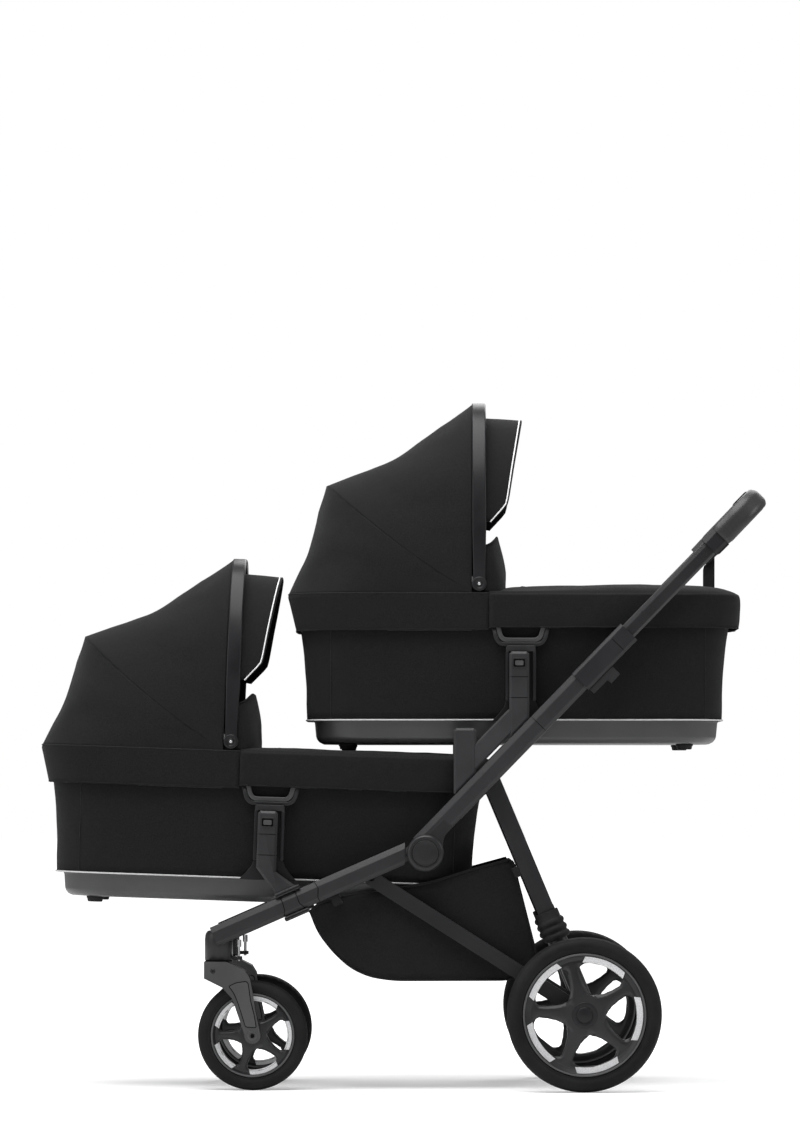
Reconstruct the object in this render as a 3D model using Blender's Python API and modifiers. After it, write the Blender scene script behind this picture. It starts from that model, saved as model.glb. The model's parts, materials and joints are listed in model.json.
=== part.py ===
"""Tandem pram with two carrycots, in metres, +Z up, front towards -X, the pram's left side at -Y.

The origin lies on the floor, under the middle of the pram.
"""

import math

import bmesh
import bpy
from mathutils import Matrix, Vector

# Clearances
GAP = 0.0003
RUN = 0.0005

# Side frames: each side's tubes lie in one upright plane, the legs and struts in a second one inboard
FRAME_Y = 0.198
TUBE_ACROSS = 0.022
LEG_ACROSS = 0.016
LEG_SPACE = 0.003
INNER_Y = FRAME_Y - TUBE_ACROSS / 2 - LEG_ACROSS / 2 - LEG_SPACE

# Fold hub and the upper tube that rises from it, tilted back
HUB_X, HUB_Z = 0.0409, 0.4097
HUB_RADIUS = 0.0315
HUB_ACROSS = 0.030
UPPER_ANGLE = math.radians(45.8)
UPPER_RISE = 0.0154
UPPER_DEPTH = 0.036
UPPER_LENGTH = 0.476
TUBE_WALL = 0.0035
SLEEVE_START, SLEEVE_END = 0.398, 0.518
SLEEVE_WALL = 0.003
LEG_PIVOT_ALONG = 0.174
BORE_START = 0.206

# Front tube, from the hub down to the front foot
FRONT_START_X, FRONT_START_Z = 0.0068, 0.4094
FRONT_ANGLE = math.radians(23.6)
FRONT_DEPTH = 0.035
FRONT_NECK_DEPTH = 0.025
STRUT_PIVOT_ALONG, STRUT_PIVOT_RISE = 0.0715, -0.0166
CROSS_TUBE_RADIUS = 0.012
FRONT_CROSS_ALONG = 0.296

# Handle
HANDLE_START = 0.301
COLLAR_START, COLLAR_WIDTH, COLLAR_SKEW = 0.700, 0.0257, 0.0204
COLLAR_TOP, COLLAR_BOTTOM = 0.0226, -0.0195
GRIP_START = 0.7465
HANDLE_BAR_ALONG, HANDLE_BAR_RISE = 0.8325, 0.003
HANDLE_CORNER = 0.045
BAR_RADIUS = 0.013
GRIP_RADIUS = 0.0205
BUTTON_SIZE = (0.030, 0.014)
BUTTON_TRAVEL = 0.003
STRAP_X, STRAP_WIDTH, STRAP_THICKNESS, STRAP_LENGTH = 0.5483, 0.0215, 0.004, 0.25

# Fold latch
LATCH_WIDTH, LATCH_THICKNESS = 0.018, 0.003
LATCH_START, LATCH_END, LATCH_TAB_START, LATCH_TAB_DROP = 0.400, 0.455, 0.434, 0.019

# Rear wheels and front wheels: radius, place of the axle, half track, tyre width and depth, and what
# lies between the rear wheels and the frame's tubes or the front wheels' plane and that of the tubes
REAR_RADIUS, REAR_X, REAR_SPACE = 0.133, 0.3136, 0.042
REAR_TYRE_WIDTH, REAR_TYRE_DEPTH = 0.044, 0.0275
REAR_Y = FRAME_Y + REAR_SPACE + REAR_TYRE_WIDTH / 2
FRONT_RADIUS, FRONT_X, FRONT_INSET = 0.095, -0.2571, 0.018
FRONT_Y = FRAME_Y - FRONT_INSET
FRONT_TYRE_WIDTH, FRONT_TYRE_DEPTH = 0.040, 0.0229
RIM_INSET, WHEEL_PLAY = 0.003, 0.0015
SPOKES = 5
WHEEL_STEPS = 32
REAR_PIN_RADIUS, FRONT_PIN_RADIUS = 0.0055, 0.004
REAR_SPOKE_TURN, FRONT_SPOKE_TURN = math.radians(32), math.radians(36)

# Swivel forks
SWIVEL_X = -0.3159
FORK_TOP_Z = 0.2223
FOOT_RADIUS, FOOT_TOP_Z = 0.0242, 0.276
SPIGOT_RADIUS, SPIGOT_LENGTH = 0.006, 0.019
FORK_PLATE = 0.009
FORK_SIDE_GAP = 0.0035
LOCK_X, LOCK_TIP_LIFT = -0.2815, 0.0006
LOCK_PIN_RADIUS, LOCK_KNOB_RADIUS = 0.0025, 0.0045

# Rear leg, suspension rod and struts
LEG_ANGLE = math.radians(67.3)
LEG_DEPTH = 0.030
LEG_LENGTH = 0.262
ROD_RADIUS, ROD_REACH, ROD_CLEARANCE = 0.006, 0.19, 0.0008
GAITER_START, GAITER_END = 0.250, 0.3002
GAITER_RADIUS, GAITER_GROOVE, GAITER_BORE, GAITER_RIBS = 0.024, 0.0200, 0.0174, 3
STANCHION_RADIUS = 0.016
PIVOT_RADIUS = 0.005
LEG_CROSS_ALONG = 0.113
STRUT_DEPTH, STRUT_ACROSS = 0.026, 0.014
AXLE_RADIUS, AXLE_BOSS_RADIUS = 0.011, 0.0235
AXLE_END_Y = REAR_Y - REAR_TYRE_WIDTH / 2 + RIM_INSET - WHEEL_PLAY
PEDAL_Y, PEDAL_WIDTH, PEDAL_LENGTH = 0.100, 0.040, 0.050

# Basket, as seen from the side
BASKET_SPACE, BASKET_WALL = 0.003, 0.003
BASKET_HALF_WIDTH = INNER_Y - LEG_ACROSS / 2 - BASKET_SPACE
BASKET_OUTLINE = (
    (-0.1586, 0.3080), (-0.1451, 0.2727), (-0.1188, 0.2381), (-0.0870, 0.2095), (-0.0530, 0.1950),
    (-0.0130, 0.1891), (0.1870, 0.1897), (0.2270, 0.2010), (0.2370, 0.2200), (0.1930, 0.3940),
    (0.1830, 0.3960),
)

# Carrycots: each is modelled round its hood pivot, then stands at that pivot
COT_PIVOTS = {"upper": (0.1340, 0.8750, 0.0), "lower": (-0.2953, 0.6022, 2.0)}
COT_HALF_WIDTH = 0.180
COT_HEAD, COT_FOOT = -0.3327, 0.4575
COT_CORNER = 0.100
SKIN = 0.003
BAND_TOP, BAND_BOTTOM, COVER_BOTTOM = -0.0165, -0.079, -0.0745
BAND_HEAD_INSET = 0.0147
BODY_TOP, BODY_BOTTOM = -0.030, -0.2345
BODY_WALL = 0.005
BODY_INSET_TOP, BODY_INSET_BOTTOM = 0.012, 0.027
BODY_END_INSET_TOP, BODY_END_INSET_BOTTOM = 0.0155, 0.033
TRAY_TOP, TRAY_BOTTOM, TRAY_WALL = -0.2352, -0.2765, 0.003
TRAY_HALF_WIDTH = 0.150
TRAY_HEAD_INSET, TRAY_FOOT_INSET = 0.0457, 0.040
FOOT_DEPTH = 0.0095
COVER_EDGE = 0.004
FLAP_BASE_X, FLAP_TOP_X, FLAP_SIDE_Z, FLAP_TOP_Z = 0.044, 0.031, 0.066, 0.080
DECK_CROWN = {"upper": (0.0155, 0.008), "lower": (0.007, 0.0)}
MATTRESS_HEIGHT, MATTRESS_INSET = 0.040, 0.016

# Hood
HOOD_HEIGHT = 0.3223
HOOP_WIDTH, HOOP_THICKNESS = 0.0245, 0.010
HOOP_POWER = 2.6
HOOP_BOSS_RADIUS = 0.0105
MID_HOOP_ANGLE = math.radians(33.5)
MID_HOOP_RADIUS = 0.320
MID_HOOP_WIDTH, MID_HOOP_THICKNESS, MID_HOOP_DROP = 0.0084, 0.0045, 0.0065
HINGE_PIN_RADIUS = 0.003
HOOD_COLUMNS = 16
HOOD_CLOTH = 0.002
HOOD_ROWS = (
    (8.0, 0.3085, 4.4), (20.0, 0.3045, 3.8), (33.5, 0.320, 3.0),
    (45.0, 0.287, 2.8), (60.0, 0.271, 2.7), (77.0, 0.288, 2.6),
)
VISOR_HEIGHT, VISOR_DROOP = 0.2958, 0.0042
VISOR_REACH = (
    (0.0, 0.0), (0.1045, 0.003), (0.1386, 0.0345), (0.1516, 0.0378), (0.2037, 0.0459), (0.2916, 0.0612),
)
HOOD_START, HOOD_BASE, HOOD_EDGE = -HOOP_WIDTH / 2 - RUN, -0.0150, 0.023

# Cot brackets and release handles, and the adapter posts that they stand on
POST_X, BRACKET_X = 0.0690, 0.0718
POST_HALF_WIDTH = 0.0172
POST_TOP = -0.1176
POST_INSET, POST_ACROSS = 0.004, 0.020
POST_Y = FRAME_Y - POST_INSET
BRACKET_SPACE, BRACKET_ACROSS = 0.0085, 0.005
BRACKET_Y = POST_Y - POST_ACROSS / 2 - BRACKET_ACROSS / 2 - BRACKET_SPACE
BRACKET_HALF_WIDTH, BRACKET_RIB = 0.0265, 0.006
RING_HALF_TOP, RING_HALF_BOTTOM, RING_TOP, RING_BOTTOM = 0.0455, 0.0365, -0.060, -0.1010
RING_BAR = 0.0075
BEZEL_BAR = 0.0065
ADAPTER_BUTTON = (0.0150, 0.0095, 0.006)
ADAPTER_BUTTON_DROP = 0.0202
UPPER_SOCKET = (0.1094, 0.0390, 0.6252)
LOWER_ARM_BEND = -0.2190
CLAMP_LENGTH, CLAMP_START = 0.046, 0.1905
CLAMP_LIP = 0.008

ROUND = 20
LEFT_RIGHT = (("left", -1), ("right", 1))


def clear_scene():
    for obj in list(bpy.data.objects):
        bpy.data.objects.remove(obj, do_unlink=True)


clear_scene()
pram = bpy.data.collections.new("tandem_pram")
cutters = bpy.data.collections.new("cutters")
guides = bpy.data.collections.new("guides")
for collection in (pram, cutters, guides):
    bpy.context.scene.collection.children.link(collection)


# Materials
def make_material(name, colour, roughness, metallic=0.0):
    material = bpy.data.materials.new(name)
    material.use_nodes = True
    shader = material.node_tree.nodes["Principled BSDF"]
    shader.inputs["Base Color"].default_value = (*colour, 1.0)
    shader.inputs["Roughness"].default_value = roughness
    shader.inputs["Metallic"].default_value = metallic
    return material


LOOKS = {
    "painted_tube": ((0.030, 0.030, 0.032), 0.42, 0.6),
    "plastic": ((0.022, 0.022, 0.023), 0.50, 0.0),
    "rubber": ((0.016, 0.016, 0.016), 0.75, 0.0),
    "fabric": ((0.012, 0.012, 0.012), 0.90, 0.0),
    "lining": ((0.20, 0.20, 0.20), 0.90, 0.0),
    "leather": ((0.015, 0.015, 0.015), 0.55, 0.0),
    "steel": ((0.55, 0.55, 0.55), 0.25, 1.0),
}


# Building blocks
def add_node(obj, name, look, parent=None):
    """Names a finished piece, gives it its own material and puts it in the pram's collection."""
    obj.name = name
    obj.data.name = name
    obj.data.materials.clear()
    obj.data.materials.append(make_material(name, *LOOKS[look]))
    if obj.type == "MESH":
        obj.data.shade_smooth()
        obj.data.set_sharp_from_angle(angle=math.radians(35))
    pram.objects.link(obj)
    if parent:
        obj.parent = parent
    return obj


def mesh_object(bm):
    mesh = bpy.data.meshes.new("piece")
    bm.to_mesh(mesh)
    bm.free()
    return bpy.data.objects.new("piece", mesh)


def bevel(obj, width, segments=1, angle=40):
    modifier = obj.modifiers.new("rounded edges", "BEVEL")
    modifier.width = width
    modifier.segments = segments
    modifier.limit_method = "ANGLE"
    modifier.angle_limit = math.radians(angle)
    return obj


def box(size, centre, tilt=0.0, edge=0.0, segments=1):
    """A box whose X side is tilted up towards +Z by tilt."""
    bm = bmesh.new()
    bmesh.ops.create_cube(bm, size=1.0)
    bmesh.ops.scale(bm, vec=Vector(size), verts=bm.verts)
    obj = mesh_object(bm)
    obj.location = centre
    obj.rotation_euler.y = -tilt
    if edge:
        bevel(obj, edge, segments)
    return obj


def cylinder(radius, length, centre, axis="Z", tilt=0.0, sides=ROUND):
    """A cylinder along Z, or along Y; one along Z leans from Z towards +X by tilt."""
    bm = bmesh.new()
    bmesh.ops.create_cone(bm, cap_ends=True, segments=sides, radius1=radius, radius2=radius, depth=length)
    if axis == "Y":
        bmesh.ops.rotate(bm, matrix=Matrix.Rotation(math.pi / 2, 3, "X"), verts=bm.verts)
    obj = mesh_object(bm)
    obj.location = centre
    obj.rotation_euler.y = tilt
    return obj


def from_curve(curve, turn=None):
    """A welded mesh object made from a curve, turned from the curve's own plane."""
    helper = bpy.data.objects.new("curve", curve)
    guides.objects.link(helper)
    graph = bpy.context.evaluated_depsgraph_get()
    mesh = bpy.data.meshes.new_from_object(helper.evaluated_get(graph))
    bm = bmesh.new()
    bm.from_mesh(mesh)
    bmesh.ops.remove_doubles(bm, verts=bm.verts, dist=0.00001)
    bmesh.ops.recalc_face_normals(bm, faces=bm.faces)
    bm.to_mesh(mesh)
    bm.free()
    if turn:
        mesh.transform(turn)
    obj = bpy.data.objects.new("piece", mesh)
    obj.matrix_world = helper.matrix_world
    bpy.data.objects.remove(helper, do_unlink=True)
    return obj


SIDE_VIEW = Matrix.Rotation(math.pi / 2, 4, "X")
FRONT_VIEW = Matrix(((0, 0, 1, 0), (1, 0, 0, 0), (0, 1, 0, 0), (0, 0, 0, 1)))


def plate(loops, thickness, y=0.0, turn=SIDE_VIEW, edge=0.0):
    """Closed outlines of (x, z), or of (y, z) in FRONT_VIEW, filled and given a thickness."""
    curve = bpy.data.curves.new("outline", "CURVE")
    curve.dimensions = "2D"
    curve.fill_mode = "BOTH"
    curve.extrude = thickness / 2
    for loop in loops:
        spline = curve.splines.new("POLY")
        spline.points.add(len(loop) - 1)
        for point, (across, up) in zip(spline.points, loop):
            point.co = (across, up, 0.0, 1.0)
        spline.use_cyclic_u = True
    obj = from_curve(curve, turn)
    obj.location.y = y
    if edge:
        bevel(obj, edge)
    return obj


def rod(points, radius, resolution=2):
    """A round bar through points."""
    curve = bpy.data.curves.new("bar", "CURVE")
    curve.dimensions = "3D"
    curve.bevel_depth = radius
    curve.bevel_resolution = resolution
    curve.use_fill_caps = True
    spline = curve.splines.new("POLY")
    spline.points.add(len(points) - 1)
    for point, place in zip(spline.points, points):
        point.co = (*place, 1.0)
    return from_curve(curve)


def turned(profile, steps, closed):
    """A profile of (radius, height) turned about Z; its outer side runs from top to bottom."""
    bm = bmesh.new()
    corners = [bm.verts.new((radius, 0.0, height)) for radius, height in profile]
    for first, second in zip(corners, corners[1:]):
        bm.edges.new((first, second))
    if closed:
        bm.edges.new((corners[-1], corners[0]))
    obj = mesh_object(bm)
    screw = obj.modifiers.new("turned", "SCREW")
    screw.steps = steps
    screw.render_steps = steps
    screw.use_merge_vertices = True
    screw.merge_threshold = 0.00001
    return obj


def as_tool(obj):
    cutters.objects.link(obj)
    obj.hide_render = True
    obj.display_type = "WIRE"
    return obj


def combine(obj, tool, operation):
    modifier = obj.modifiers.new(operation.lower(), "BOOLEAN")
    modifier.operation = operation
    modifier.solver = "EXACT"
    modifier.object = as_tool(tool)
    return obj


def cut(obj, tool):
    return combine(obj, tool, "DIFFERENCE")


def join(obj, tool):
    return combine(obj, tool, "UNION")


def arc(centre, radius, start, end, steps):
    """Points of an arc of (x, z), angles in radians from +X."""
    return [
        (
            centre[0] + radius * math.cos(start + (end - start) * i / steps),
            centre[1] + radius * math.sin(start + (end - start) * i / steps),
        )
        for i in range(steps + 1)
    ]


# Lines of the side frames
UPPER_X = HUB_X - UPPER_RISE * math.sin(UPPER_ANGLE)
UPPER_Z = HUB_Z + UPPER_RISE * math.cos(UPPER_ANGLE)


def on_upper(along, rise=0.0):
    """A point (x, z) of the upper tube's axis, rise above it."""
    c, s = math.cos(UPPER_ANGLE), math.sin(UPPER_ANGLE)
    return (UPPER_X + along * c - rise * s, UPPER_Z + along * s + rise * c)


def on_front(along, rise=0.0):
    """A point (x, z) of the front tube's axis, measured from the hub towards the foot."""
    c, s = math.cos(FRONT_ANGLE), math.sin(FRONT_ANGLE)
    return (FRONT_START_X - along * c - rise * s, FRONT_START_Z - along * s + rise * c)


LEG_X, LEG_Z = on_upper(LEG_PIVOT_ALONG)


def on_leg(along, rise=0.0):
    """A point (x, z) of the rear leg's axis, measured down from its pivot."""
    c, s = math.cos(LEG_ANGLE), math.sin(LEG_ANGLE)
    return (LEG_X + along * c + rise * s, LEG_Z - along * s + rise * c)


STRUT_X, STRUT_Z = on_front(STRUT_PIVOT_ALONG, STRUT_PIVOT_RISE)


def at(point, y):
    return (point[0], y, point[1])


def bar_between(start, end, y, across, depth, edge=0.002, segments=1):
    """A straight bar in a side plane, from one (x, z) to another."""
    run, climb = end[0] - start[0], end[1] - start[1]
    middle = ((start[0] + end[0]) / 2, (start[1] + end[1]) / 2)
    size = (math.hypot(run, climb), across, depth)
    return box(size, at(middle, y), math.atan2(climb, run), edge, segments)


def eye_bar(start, end, y, across, depth, hole):
    """A flat bar with a round, drilled end at start and a square end."""
    lean = math.atan2(end[1] - start[1], end[0] - start[0])
    half = depth / 2
    side = (-half * math.sin(lean), half * math.cos(lean))
    outline = arc(start, half, lean + math.pi / 2, lean + 1.5 * math.pi, 8)
    outline += [(end[0] - side[0], end[1] - side[1]), (end[0] + side[0], end[1] + side[1])]
    return plate([outline, arc(start, hole, 0.0, 2 * math.pi, 12)[:-1]], across, y)


# Frame tubes
def make_front_tube(side, sign):
    y = sign * FRAME_Y
    foot_y = sign * FRONT_Y
    foot_along = (FRONT_START_X - SWIVEL_X) / math.cos(FRONT_ANGLE) + FOOT_RADIUS * 0.5
    tube = bar_between(on_front(0.0), on_front(foot_along), y, TUBE_ACROSS, FRONT_DEPTH, 0.003)
    hub = cylinder(HUB_RADIUS + GAP, HUB_ACROSS + 0.01, (HUB_X, y, HUB_Z), "Y", sides=28)
    neck_rise = -0.006
    neck = bar_between(
        on_front(0.01, neck_rise), on_front(-0.03, neck_rise), y, TUBE_ACROSS - 0.006, FRONT_NECK_DEPTH, 0.0
    )
    join(tube, neck)
    cut(tube, hub)
    foot_height = FOOT_TOP_Z - FORK_TOP_Z - GAP
    foot_middle = (SWIVEL_X, foot_y, FORK_TOP_Z + GAP + foot_height / 2)
    join(tube, cylinder(FOOT_RADIUS, foot_height, foot_middle))
    spigot_middle = (SWIVEL_X, foot_y, FORK_TOP_Z + GAP - SPIGOT_LENGTH / 2 + 0.002)
    join(tube, cylinder(SPIGOT_RADIUS, SPIGOT_LENGTH + 0.004, spigot_middle, sides=16))
    lug_start = SWIVEL_X + FOOT_RADIUS - 0.004
    lug_end = LOCK_X + 0.006
    lug_middle = ((lug_start + lug_end) / 2, foot_y, FORK_TOP_Z + 0.006)
    join(tube, box((lug_end - lug_start, 0.012, 0.006), lug_middle))
    cut(tube, cylinder(LOCK_PIN_RADIUS + GAP, 0.02, (LOCK_X, foot_y, FORK_TOP_Z + 0.006), sides=16))
    pin_inner = INNER_Y - LEG_ACROSS / 2 - 0.0015
    pin_outer = FRAME_Y - TUBE_ACROSS / 2 + 0.006
    pin_middle = (STRUT_X, sign * (pin_inner + pin_outer) / 2, STRUT_Z)
    join(tube, cylinder(PIVOT_RADIUS, pin_outer - pin_inner, pin_middle, "Y", sides=12))
    return add_node(tube, f"front_tube_{side}", "painted_tube")


def make_upper_tube(side, sign):
    y = sign * FRAME_Y
    tube = bar_between(on_upper(0.012), on_upper(UPPER_LENGTH), y, TUBE_ACROSS, UPPER_DEPTH, 0.003)
    hub = cylinder(HUB_RADIUS, HUB_ACROSS, (HUB_X, y, HUB_Z), "Y", sides=28)
    join(tube, hub)
    bore = bar_between(
        on_upper(BORE_START), on_upper(UPPER_LENGTH + 0.02), y,
        TUBE_ACROSS - 2 * TUBE_WALL, UPPER_DEPTH - 2 * TUBE_WALL, 0.0
    )
    cut(tube, bore)
    pin_inner = INNER_Y - LEG_ACROSS / 2 - 0.0015
    pin_outer = FRAME_Y - TUBE_ACROSS / 2 + 0.006
    pin_middle = (LEG_X, sign * (pin_inner + pin_outer) / 2, LEG_Z)
    join(tube, cylinder(PIVOT_RADIUS, pin_outer - pin_inner, pin_middle, "Y", sides=12))
    return add_node(tube, f"upper_tube_{side}", "painted_tube")


SLEEVE_ACROSS = TUBE_ACROSS + 2 * (SLEEVE_WALL + GAP)
SLEEVE_DEPTH = UPPER_DEPTH + 2 * (SLEEVE_WALL + GAP)


def make_sleeve(side, sign):
    y = sign * FRAME_Y
    sleeve = bar_between(
        on_upper(SLEEVE_START), on_upper(SLEEVE_END), y, SLEEVE_ACROSS, SLEEVE_DEPTH, 0.002
    )
    wide = bar_between(
        on_upper(SLEEVE_START - 0.02), on_upper(UPPER_LENGTH + GAP), y,
        TUBE_ACROSS + 2 * GAP, UPPER_DEPTH + 2 * GAP, 0.0
    )
    narrow = bar_between(
        on_upper(UPPER_LENGTH - 0.02), on_upper(SLEEVE_END + 0.02), y,
        TUBE_ACROSS - 2 * TUBE_WALL, UPPER_DEPTH - 2 * TUBE_WALL, 0.0
    )
    cut(sleeve, wide)
    cut(sleeve, narrow)
    return add_node(sleeve, f"tube_sleeve_{side}", "plastic")


def make_fold_latch(side, sign):
    """A T-shaped slide under the sleeve, moved along the tube."""
    y = sign * FRAME_Y
    face = -SLEEVE_DEPTH / 2 - GAP
    middle = face - LATCH_THICKNESS / 2
    latch = bar_between(
        on_upper(LATCH_START, middle), on_upper(LATCH_END, middle), y, LATCH_WIDTH, LATCH_THICKNESS, 0.0
    )
    tab_middle = face - LATCH_TAB_DROP / 2
    tab = bar_between(
        on_upper(LATCH_TAB_START, tab_middle), on_upper(LATCH_END - 0.004, tab_middle), y,
        LATCH_WIDTH - 0.003, LATCH_TAB_DROP - 0.001, 0.002
    )
    return add_node(join(latch, tab), f"fold_latch_{side}", "plastic")


def make_front_crossbar():
    length = 2 * (FRAME_Y - TUBE_ACROSS / 2 - GAP)
    place = at(on_front(FRONT_CROSS_ALONG), 0.0)
    return add_node(cylinder(CROSS_TUBE_RADIUS, length, place, "Y"), "front_crossbar", "painted_tube")


# Handle
INNER_TUBE_ACROSS = TUBE_ACROSS - 2 * TUBE_WALL - 2 * GAP
INNER_TUBE_DEPTH = UPPER_DEPTH - 2 * TUBE_WALL - 2 * GAP


def handle_path(start_along):
    """Points of the handle's bar from the left arm, round both corners, to the right arm."""
    corner_along = HANDLE_BAR_ALONG - HANDLE_CORNER
    corner_y = FRAME_Y - HANDLE_CORNER
    flat = [(start_along, -FRAME_Y)]
    for i in range(6):
        turn = math.pi / 2 * i / 5
        reach, inward = HANDLE_CORNER * math.sin(turn), HANDLE_CORNER * math.cos(turn)
        flat.append((corner_along + reach, -corner_y - inward))
    flat += [(along, -y) for along, y in reversed(flat)]
    reach = HANDLE_BAR_ALONG - COLLAR_START
    return [at(on_upper(along, HANDLE_BAR_RISE * (along - COLLAR_START) / reach), y) for along, y in flat]


def collar_outline():
    """The collar from the side: its ends slant, so that its lower edge lies further up the handle."""
    low = COLLAR_START + COLLAR_SKEW
    return [
        on_upper(COLLAR_START, COLLAR_TOP), on_upper(COLLAR_START + COLLAR_WIDTH, COLLAR_TOP),
        on_upper(low + COLLAR_WIDTH, COLLAR_BOTTOM), on_upper(low, COLLAR_BOTTOM),
    ]


def make_handle_frame():
    """Two inner tubes, a slanting collar on each, and the bar bent through both corners."""
    middle = COLLAR_START + (COLLAR_WIDTH + COLLAR_SKEW) / 2
    bar = rod(handle_path(middle - 0.001), BAR_RADIUS)
    for _, sign in LEFT_RIGHT:
        y = sign * FRAME_Y
        inner = bar_between(
            on_upper(HANDLE_START), on_upper(middle + 0.001), y, INNER_TUBE_ACROSS, INNER_TUBE_DEPTH, 0.002
        )
        collar = plate([collar_outline()], 2 * BAR_RADIUS + 0.004, y, edge=0.003)
        join(bar, collar)
        join(bar, inner)
    return add_node(bar, "handle_frame", "painted_tube")


def make_handle_grip():
    """The cover round the bar, cut open on top for the height button."""
    path = handle_path(GRIP_START)
    bore_path = handle_path(GRIP_START - 0.01)
    grip = cut(rod(path, GRIP_RADIUS), rod(bore_path, BAR_RADIUS + GAP))
    pocket = BUTTON_SIZE[1] + 2 * GAP
    pocket_middle = at(on_upper(HANDLE_BAR_ALONG + GRIP_RADIUS, HANDLE_BAR_RISE), 0.0)
    cut(grip, box((2 * GRIP_RADIUS, BUTTON_SIZE[0] + 2 * GAP, pocket), pocket_middle, UPPER_ANGLE))
    return add_node(grip, "handle_grip", "leather")


def make_height_button():
    start = HANDLE_BAR_ALONG + BAR_RADIUS + BUTTON_TRAVEL + GAP
    end = HANDLE_BAR_ALONG + GRIP_RADIUS + 0.0025
    middle = at(on_upper((start + end) / 2, HANDLE_BAR_RISE), 0.0)
    button = box((end - start, BUTTON_SIZE[0], BUTTON_SIZE[1]), middle, UPPER_ANGLE, 0.001)
    return add_node(button, "height_button", "plastic")


def make_hand_strap():
    """A sewn webbing strap that hangs from the collar on the handle's right arm."""
    corner_x, corner_z = on_upper(COLLAR_START + COLLAR_SKEW, COLLAR_BOTTOM)

    def under_arm(x, depth):
        """The height just below a line along the arm, depth under its axis."""
        run = (x - UPPER_X) / math.cos(UPPER_ANGLE)
        return UPPER_Z + run * math.sin(UPPER_ANGLE) - (depth + GAP) / math.cos(UPPER_ANGLE)

    left, right = STRAP_X - STRAP_WIDTH / 2, STRAP_X + STRAP_WIDTH / 2
    bottom = corner_z - STRAP_LENGTH
    radius = STRAP_WIDTH / 2
    outline = [
        (right, under_arm(right, -COLLAR_BOTTOM)), (corner_x, corner_z - GAP),
        (left, under_arm(left, INNER_TUBE_DEPTH / 2)),
    ]
    outline += arc((STRAP_X, bottom + radius), radius, math.pi, 2 * math.pi, 8)
    return add_node(plate([outline], STRAP_THICKNESS, FRAME_Y), "hand_strap", "fabric")


# Rear legs, suspension and axle
def make_rear_leg_frame():
    """Both legs, hollow at the bottom for the suspension rods, and the tube that joins them."""
    cross = cylinder(CROSS_TUBE_RADIUS - 0.002, 2 * INNER_Y, at(on_leg(LEG_CROSS_ALONG), 0.0), "Y")
    for _, sign in LEFT_RIGHT:
        y = sign * INNER_Y
        join(cross, eye_bar(on_leg(0.0), on_leg(LEG_LENGTH), y, LEG_ACROSS, LEG_DEPTH, PIVOT_RADIUS + RUN))
        bore_start = ROD_REACH - 0.012
        bore_middle = on_leg((bore_start + LEG_LENGTH + 0.01) / 2)
        cut(cross, cylinder(
            ROD_RADIUS + ROD_CLEARANCE, LEG_LENGTH + 0.01 - bore_start, at(bore_middle, y),
            tilt=LEG_ANGLE - math.pi / 2, sides=12
        ))
    return add_node(cross, "rear_leg_frame", "painted_tube")


def make_gaiter(side, sign):
    """A ribbed rubber sleeve round the suspension rod."""
    length = GAITER_END - GAITER_START
    neck = 0.014
    pitch = (length - neck) / (GAITER_RIBS + 0.5)
    outer = [(GAITER_GROOVE, 0.0), (GAITER_GROOVE, -neck)]
    for rib in range(GAITER_RIBS):
        top = -neck - rib * pitch
        outer.append((GAITER_RADIUS, top - pitch * 0.30))
        outer.append((GAITER_RADIUS, top - pitch * 0.70))
        outer.append((GAITER_GROOVE, top - pitch))
    outer.append((GAITER_RADIUS, -length))
    profile = outer + [(GAITER_BORE, -length), (GAITER_BORE, 0.0)]
    gaiter = turned(profile, 16, closed=True)
    gaiter.location = at(on_leg(GAITER_START), sign * INNER_Y)
    gaiter.rotation_euler.y = LEG_ANGLE - math.pi / 2
    return add_node(gaiter, f"leg_gaiter_{side}", "rubber")


def make_axle_beam():
    """Axle tube with a boss, a stanchion and a suspension rod on each side."""
    beam = cylinder(AXLE_RADIUS, 2 * AXLE_END_Y, (REAR_X, 0.0, REAR_RADIUS), "Y")
    pin_length = 2 * (REAR_Y + REAR_TYRE_WIDTH / 2 - RIM_INSET)
    join(beam, cylinder(REAR_PIN_RADIUS, pin_length, (REAR_X, 0.0, REAR_RADIUS), "Y", sides=16))
    lean = LEG_ANGLE - math.pi / 2
    foot_along = (LEG_Z - REAR_RADIUS) / math.sin(LEG_ANGLE)
    for _, sign in LEFT_RIGHT:
        y = sign * INNER_Y
        join(beam, cylinder(AXLE_BOSS_RADIUS, LEG_ACROSS + 0.014, (REAR_X, y, REAR_RADIUS), "Y", sides=16))
        top = GAITER_END + GAP
        stanchion = on_leg((top + foot_along) / 2)
        join(beam, cylinder(STANCHION_RADIUS, foot_along - top, at(stanchion, y), tilt=lean, sides=16))
        reach = on_leg((ROD_REACH + top + 0.01) / 2)
        join(beam, cylinder(ROD_RADIUS, top + 0.01 - ROD_REACH, at(reach, y), tilt=lean, sides=12))
    return add_node(beam, "rear_axle_beam", "painted_tube")


def make_strut(side, sign):
    y = sign * INNER_Y
    start, end = (STRUT_X, STRUT_Z), (REAR_X, REAR_RADIUS)
    strut = eye_bar(start, end, y, STRUT_ACROSS, STRUT_DEPTH, PIVOT_RADIUS + GAP)
    cut(strut, cylinder(AXLE_BOSS_RADIUS + GAP, STRUT_ACROSS + 0.02, at(end, y), "Y", sides=16))
    foot_along = (LEG_Z - REAR_RADIUS) / math.sin(LEG_ANGLE) + 0.03
    top = GAITER_END - 0.02
    middle = on_leg((top + foot_along) / 2)
    cut(strut, cylinder(
        STANCHION_RADIUS + GAP, foot_along - top, at(middle, y), tilt=LEG_ANGLE - math.pi / 2, sides=16
    ))
    return add_node(strut, f"strut_{side}", "painted_tube")


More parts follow.
